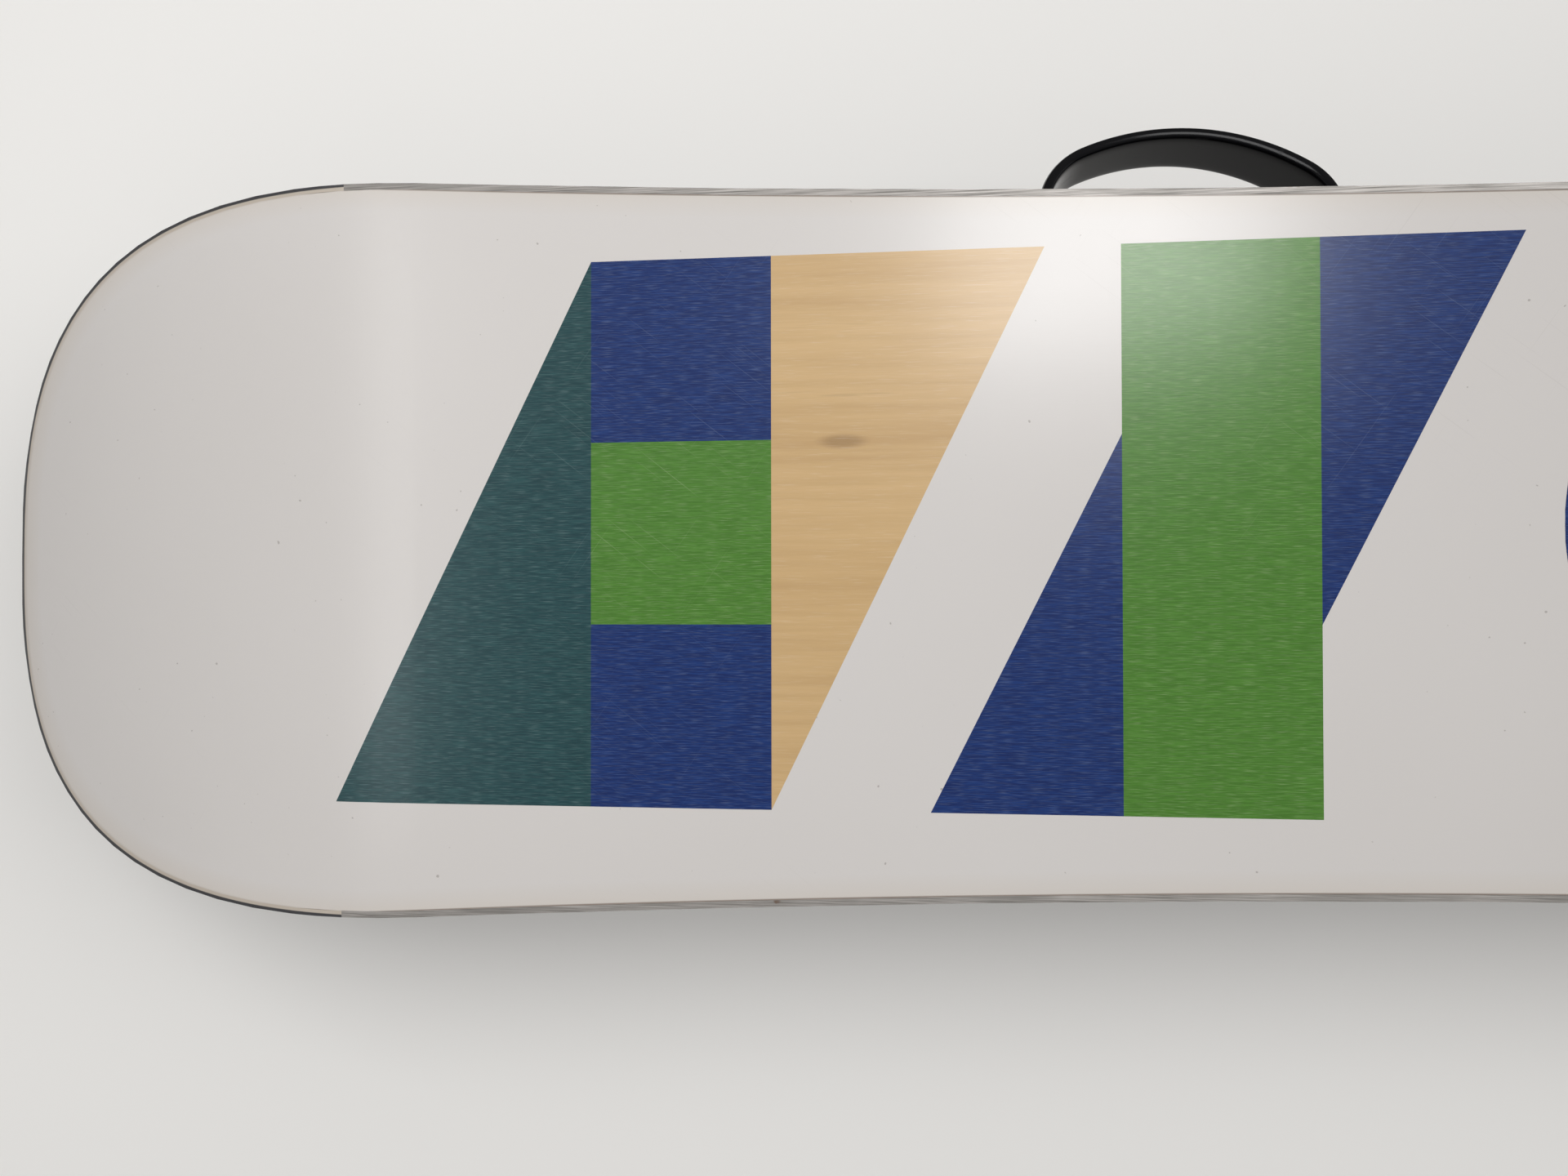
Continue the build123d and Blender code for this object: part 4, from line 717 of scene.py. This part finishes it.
# ---- ankle straps ----
# Padded straps of synthetic leather over foam, sewn round the edge, each on a moulded nylon tab
# that turns on its bolt. They lie open, bent a little outwards, and the toothed ladder is the
# strap's other half.
ANKLE_BOLT, ANKLE_TILT = (61.5, -76.0, 36.0), math.radians(15.0)
BEND_START, BEND_RADIUS = 25.0, 400.0
PAD_MIDDLE, PAD_REACH, PAD_HALF, PAD_IN, PAD_OUT = 86.0, 54.0, 27.0, 0.4, 9.4
PAD_GRID, TAB_CUT = (140, 96), 38.0
QUILT_LINES, QUILT_DEPTH, QUILT_WIDTH, QUILT_REACH = (-0.42, 0.42), 1.7, 0.075, 0.93
BORDER_AT, BORDER_DEPTH, BORDER_WIDTH = 0.86, 1.1, 0.05
SEW_ALONG, SEW_ACROSS, SEW_SINK, SEW_POINTS = 0.86, 0.855, 1.05, 4000
STITCH_LENGTH, STITCH_PITCH, STITCH_RADIUS, STITCH_SIDES = 2.4, 3.6, 0.38, 6
STITCH_RINGS = np.array([(-1, 0), (-0.6, 1), (0.6, 1), (1, 0)])
LEATHER_BLACK, LEATHER_RUBBED = (0.015, 0.015, 0.017, 1), (0.050, 0.050, 0.054, 1)


def bent_strap(x, y, z):
    """Strap points (out, along, across) bent outwards past BEND_START, then laid at the bolt."""
    past = np.maximum(y - BEND_START, 0) / BEND_RADIUS
    bent_x = np.where(past > 0, BEND_RADIUS - (BEND_RADIUS - x) * np.cos(past), x)
    bent_y = np.where(past > 0, BEND_START + (BEND_RADIUS - x) * np.sin(past), y)
    c, s = math.cos(ANKLE_TILT), math.sin(ANKLE_TILT)
    return np.stack([bent_x + ANKLE_BOLT[0], bent_y * c - z * s + ANKLE_BOLT[1],
                     bent_y * s + z * c + ANKLE_BOLT[2]], axis=-1)


def stitches(centres, along, outward):
    """Short pointed threads: a spindle of six sides for each centre, laid along a direction."""
    across = np.cross(along, outward)
    angle = np.linspace(0, 2 * np.pi, STITCH_SIDES, endpoint=False)
    ahead, swell = (STITCH_RINGS[:, q][None, :, None, None] for q in (0, 1))
    section = (np.cos(angle)[:, None] * across[:, None, None]
               + 0.8 * np.sin(angle)[:, None] * outward[:, None, None])
    points = (centres[:, None, None] + ahead * along[:, None, None] * STITCH_LENGTH / 2
              + STITCH_RADIUS * swell * section)
    return points, loft_faces(len(STITCH_RINGS), STITCH_SIDES, count=len(centres))


def cut_tab(name, side, material):
    """The strap's tab: a merged copy of its construction solid, cut off under the pad."""
    shape = bmesh.new()
    shape.from_mesh(nodes[side + "_ankle_strap"].data)
    bmesh.ops.remove_doubles(shape, verts=shape.verts, dist=1e-6)
    at_cut = on_board(bent_strap(*np.array([(0.0, TAB_CUT, 0.0), (0.0, TAB_CUT + 1, 0.0)]).T), side)
    cut = bmesh.ops.bisect_plane(shape, geom=shape.verts[:] + shape.edges[:] + shape.faces[:],
                                 plane_co=at_cut[0], plane_no=at_cut[1] - at_cut[0],
                                 clear_outer=True)
    rim = [edge for edge in cut["geom_cut"] if isinstance(edge, bmesh.types.BMEdge)]
    bmesh.ops.holes_fill(shape, edges=rim)
    mesh = bpy.data.meshes.new(name)
    shape.to_mesh(mesh)
    shape.free()
    mesh.materials.clear()
    mesh.materials.append(material)
    made = bpy.data.objects.new(name, mesh)
    scene.collection.objects.link(made)
    return made


f = Finish("strap_leather")
cells = f.node("TexVoronoi", {"Vector": f.place, "Scale": 620.0}, feature="DISTANCE_TO_EDGE")
pebbles = f.ramp(cells, 0.0, 0.12)
rubbed = f.ramp(f.noise(40.0, 5.0, 0.6), 0.5, 0.78, 0.0, 0.5)
strap_leather = f.done(Base_Color=f.mix(rubbed, LEATHER_BLACK, LEATHER_RUBBED),
                       Roughness=f.ramp(pebbles, 0.0, 1.0, 0.62, 0.42),
                       Specular_IOR_Level=PLASTIC_GLOSS, Normal=f.bump(pebbles, 0.35, 0.00015))
thread = woven("thread", (0.10, 0.10, 0.105, 1), (0.22, 0.22, 0.225, 1), 900.0)
flexible = moulded("strap_nylon", (0.022, 0.022, 0.024, 1), 0.40, rounded=0.0005)
paint(flexible, *each("ankle_ladder", "toe_ladder"))

u, v, h = pillow(*PAD_GRID, 9.0, 5.0)
pad_y = PAD_MIDDLE + PAD_REACH * u
pad_z = PAD_HALF * v * (0.86 + 0.14 * np.cos(1.15 * u) ** 2)
quilt = sum(np.exp(-((v - line) / QUILT_WIDTH) ** 2) for line in QUILT_LINES)
rim = np.maximum(np.abs(u) * 1.02, np.abs(v))
border = np.exp(-((rim - BORDER_AT) / BORDER_WIDTH) ** 2)
sink = QUILT_DEPTH * quilt * (np.abs(u) < QUILT_REACH) + BORDER_DEPTH * border
pad_x = (PAD_IN + PAD_OUT) / 2 + (PAD_OUT - PAD_IN) / 2 * h - sink * np.clip(h, 0, 1)
pad_points = bent_strap(pad_x, pad_y, pad_z)

sew_c, sew_s = power_wave(np.linspace(0, 2 * np.pi, SEW_POINTS), 7.0)
sew_y = PAD_MIDDLE + SEW_ALONG * PAD_REACH * sew_s
sew_z = SEW_ACROSS * PAD_HALF * sew_c
sew_length = np.r_[0, np.cumsum(np.hypot(np.diff(sew_y), np.diff(sew_z)))]
steps = np.arange(0, sew_length[-1] - STITCH_PITCH / 2, STITCH_PITCH)
sew = [np.interp(steps + shift, sew_length, q) for shift in (0.0, 0.5) for q in (sew_y, sew_z)]
seam_height = PAD_OUT - SEW_SINK
base_point = bent_strap(np.full(len(steps), seam_height), sew[0], sew[1])
ahead = bent_strap(np.full(len(steps), seam_height), sew[2], sew[3]) - base_point
above = bent_strap(np.full(len(steps), seam_height + 1.0), sew[0], sew[1]) - base_point
ahead, above = (q / np.linalg.norm(q, axis=1, keepdims=True) for q in (ahead, above))
stitch_points, stitch_faces = stitches(base_point, ahead, above)
for side in SIDES:
    tab = cut_tab(side + "_ankle_tab", side, flexible)
    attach(tab, side + "_ankle_strap")
    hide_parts(side + "_ankle_strap")
    put_on(side, "ankle_pad", pad_points, loft_faces(*PAD_GRID), strap_leather, "ankle_strap")
    put_on(side, "ankle_stitching", stitch_points, stitch_faces, thread, "ankle_strap")


# ---- toe straps ----
# Moulded rubber caps buckled round the boot's toe: a ribbed outer band with a foam pad glued
# inside, on a bolt at one side and held by the ladder and buckle at the other.
TOE_BOLT, TOE_TILT = (78.0, 17.0), math.radians(68.0)
CAP_HALF, CAP_REACH, CAP_RADIUS, CAP_CORNER, CAP_WALL = 59.9, 70.0, 95.0, 28.0, 3.0
CAP_FAR, CAP_NEAR, CAP_CLOSE, TAB_HALF, CAP_WIDTH = -9.0, 20.0, 5.0, 9.0, 19.0
FAR_WIDENS, NEAR_WIDENS, CAP_GRID = (19, 31), (20, 24), (700, 72)
RIB_LINES, RIB_WIDTH, CAP_RIB, CAP_BARS = (-0.62, 0.0, 0.62), 0.10, 0.55, 46
BARS_FROM, BARS_TO = 0.17, 0.80
TOE_PAD, TOE_PAD_GAP, TOE_PAD_END, TOE_GRID = 5.0, 0.05, 28.0, (200, 64)
TOE_PAD_WIDTH = CAP_WIDTH - 0.6


def toe_ring(x, y, z):
    """Points in the toe strap's own plane (across, out to the toes, width) laid at its bolts."""
    c, s = math.cos(TOE_TILT), math.sin(TOE_TILT)
    return np.stack([x, y * c - z * s + TOE_BOLT[0], y * s + z * c + TOE_BOLT[1]], axis=-1)


def toe_band(depth, thickness, far, near, width_of, grid, power, dent=None):
    """A closed band along the toe strap's U, its outer face that depth inside the outline: its
    section is a superellipse, as thick as given and as wide as width_of says, less any dent."""
    half = thickness / 2
    inset = depth + half
    path, out, at = u_line(CAP_HALF - inset, CAP_REACH - inset, CAP_RADIUS - inset,
                           CAP_CORNER - inset, -far, -near, grid[0])
    c, s = power_wave(np.linspace(0, 2 * np.pi, grid[1], endpoint=False), power)
    closing = round_ends(at, CAP_CLOSE)[:, None]
    width = width_of(-path[:, 1], path[:, 0])[:, None]
    reach = half * c[None, :] * np.minimum(1, 1.6 * closing)
    if dent is not None:
        reach = reach - dent(at[:, None] / at[-1], s[None, :]) * (c > 0.2) * closing
    x = path[:, 0, None] + out[:, 0, None] * reach
    y = -(path[:, 1, None] + out[:, 1, None] * reach)
    return toe_ring(x, y, width * s[None, :] * closing), loft_faces(*grid)


def cap_width(y, x):
    """The cap's half width: a narrow tab at the far bolt that widens, and a full near end."""
    return np.where(x < 0, np.interp(y, FAR_WIDENS, (TAB_HALF, CAP_WIDTH)),
                    np.interp(y, NEAR_WIDENS, (CAP_WIDTH - 2, CAP_WIDTH)))


def cap_dent(along, s):
    """Sinks between three raised ribs along the band and many short bars across it."""
    ribs = sum(np.exp(-((s - line) / RIB_WIDTH) ** 2) for line in RIB_LINES)
    bars = 0.5 + 0.5 * np.cos(2 * np.pi * along * CAP_BARS)
    inside = (along > BARS_FROM) & (along < BARS_TO)
    return CAP_RIB * np.where(inside, 1 - np.clip(np.maximum(ribs, bars ** 6), 0, 1), 0.0)


cap_rubber = moulded("cap_rubber", (0.015, 0.015, 0.017, 1), 0.45, depth=0.00004, rounded=0.0)
cap_points, cap_faces = toe_band(0.0, CAP_WALL, CAP_FAR, CAP_NEAR, cap_width, CAP_GRID, 8.0,
                                 cap_dent)
toe_points, toe_faces = toe_band(CAP_WALL + TOE_PAD_GAP, TOE_PAD, TOE_PAD_END, TOE_PAD_END,
                                 lambda y, x: np.full(len(y), TOE_PAD_WIDTH), TOE_GRID, 3.2)
for side in SIDES:
    put_on(side, "toe_cap", cap_points, cap_faces, cap_rubber, "toe_strap", "toe_strap")
    put_on(side, "toe_pad", toe_points, toe_faces, lining_cloth, "toe_strap")


# ---- ratchet buckles ----
# Dark anodised alloy bases with a satin alloy lever on one axle and a stamped steel release on
# the other. Both are sprung shut on the ladder's teeth.
paint(machined("buckle_alloy", (0.085, 0.086, 0.093, 1), 0.38), *each("ankle_buckle", "toe_buckle"))
paint(machined("lever_alloy", (0.58, 0.585, 0.60, 1), 0.36), *each("ankle_lever", "toe_lever"))
paint(machined("release_steel", (0.42, 0.42, 0.43, 1), 0.36), *each("ankle_release", "toe_release"))
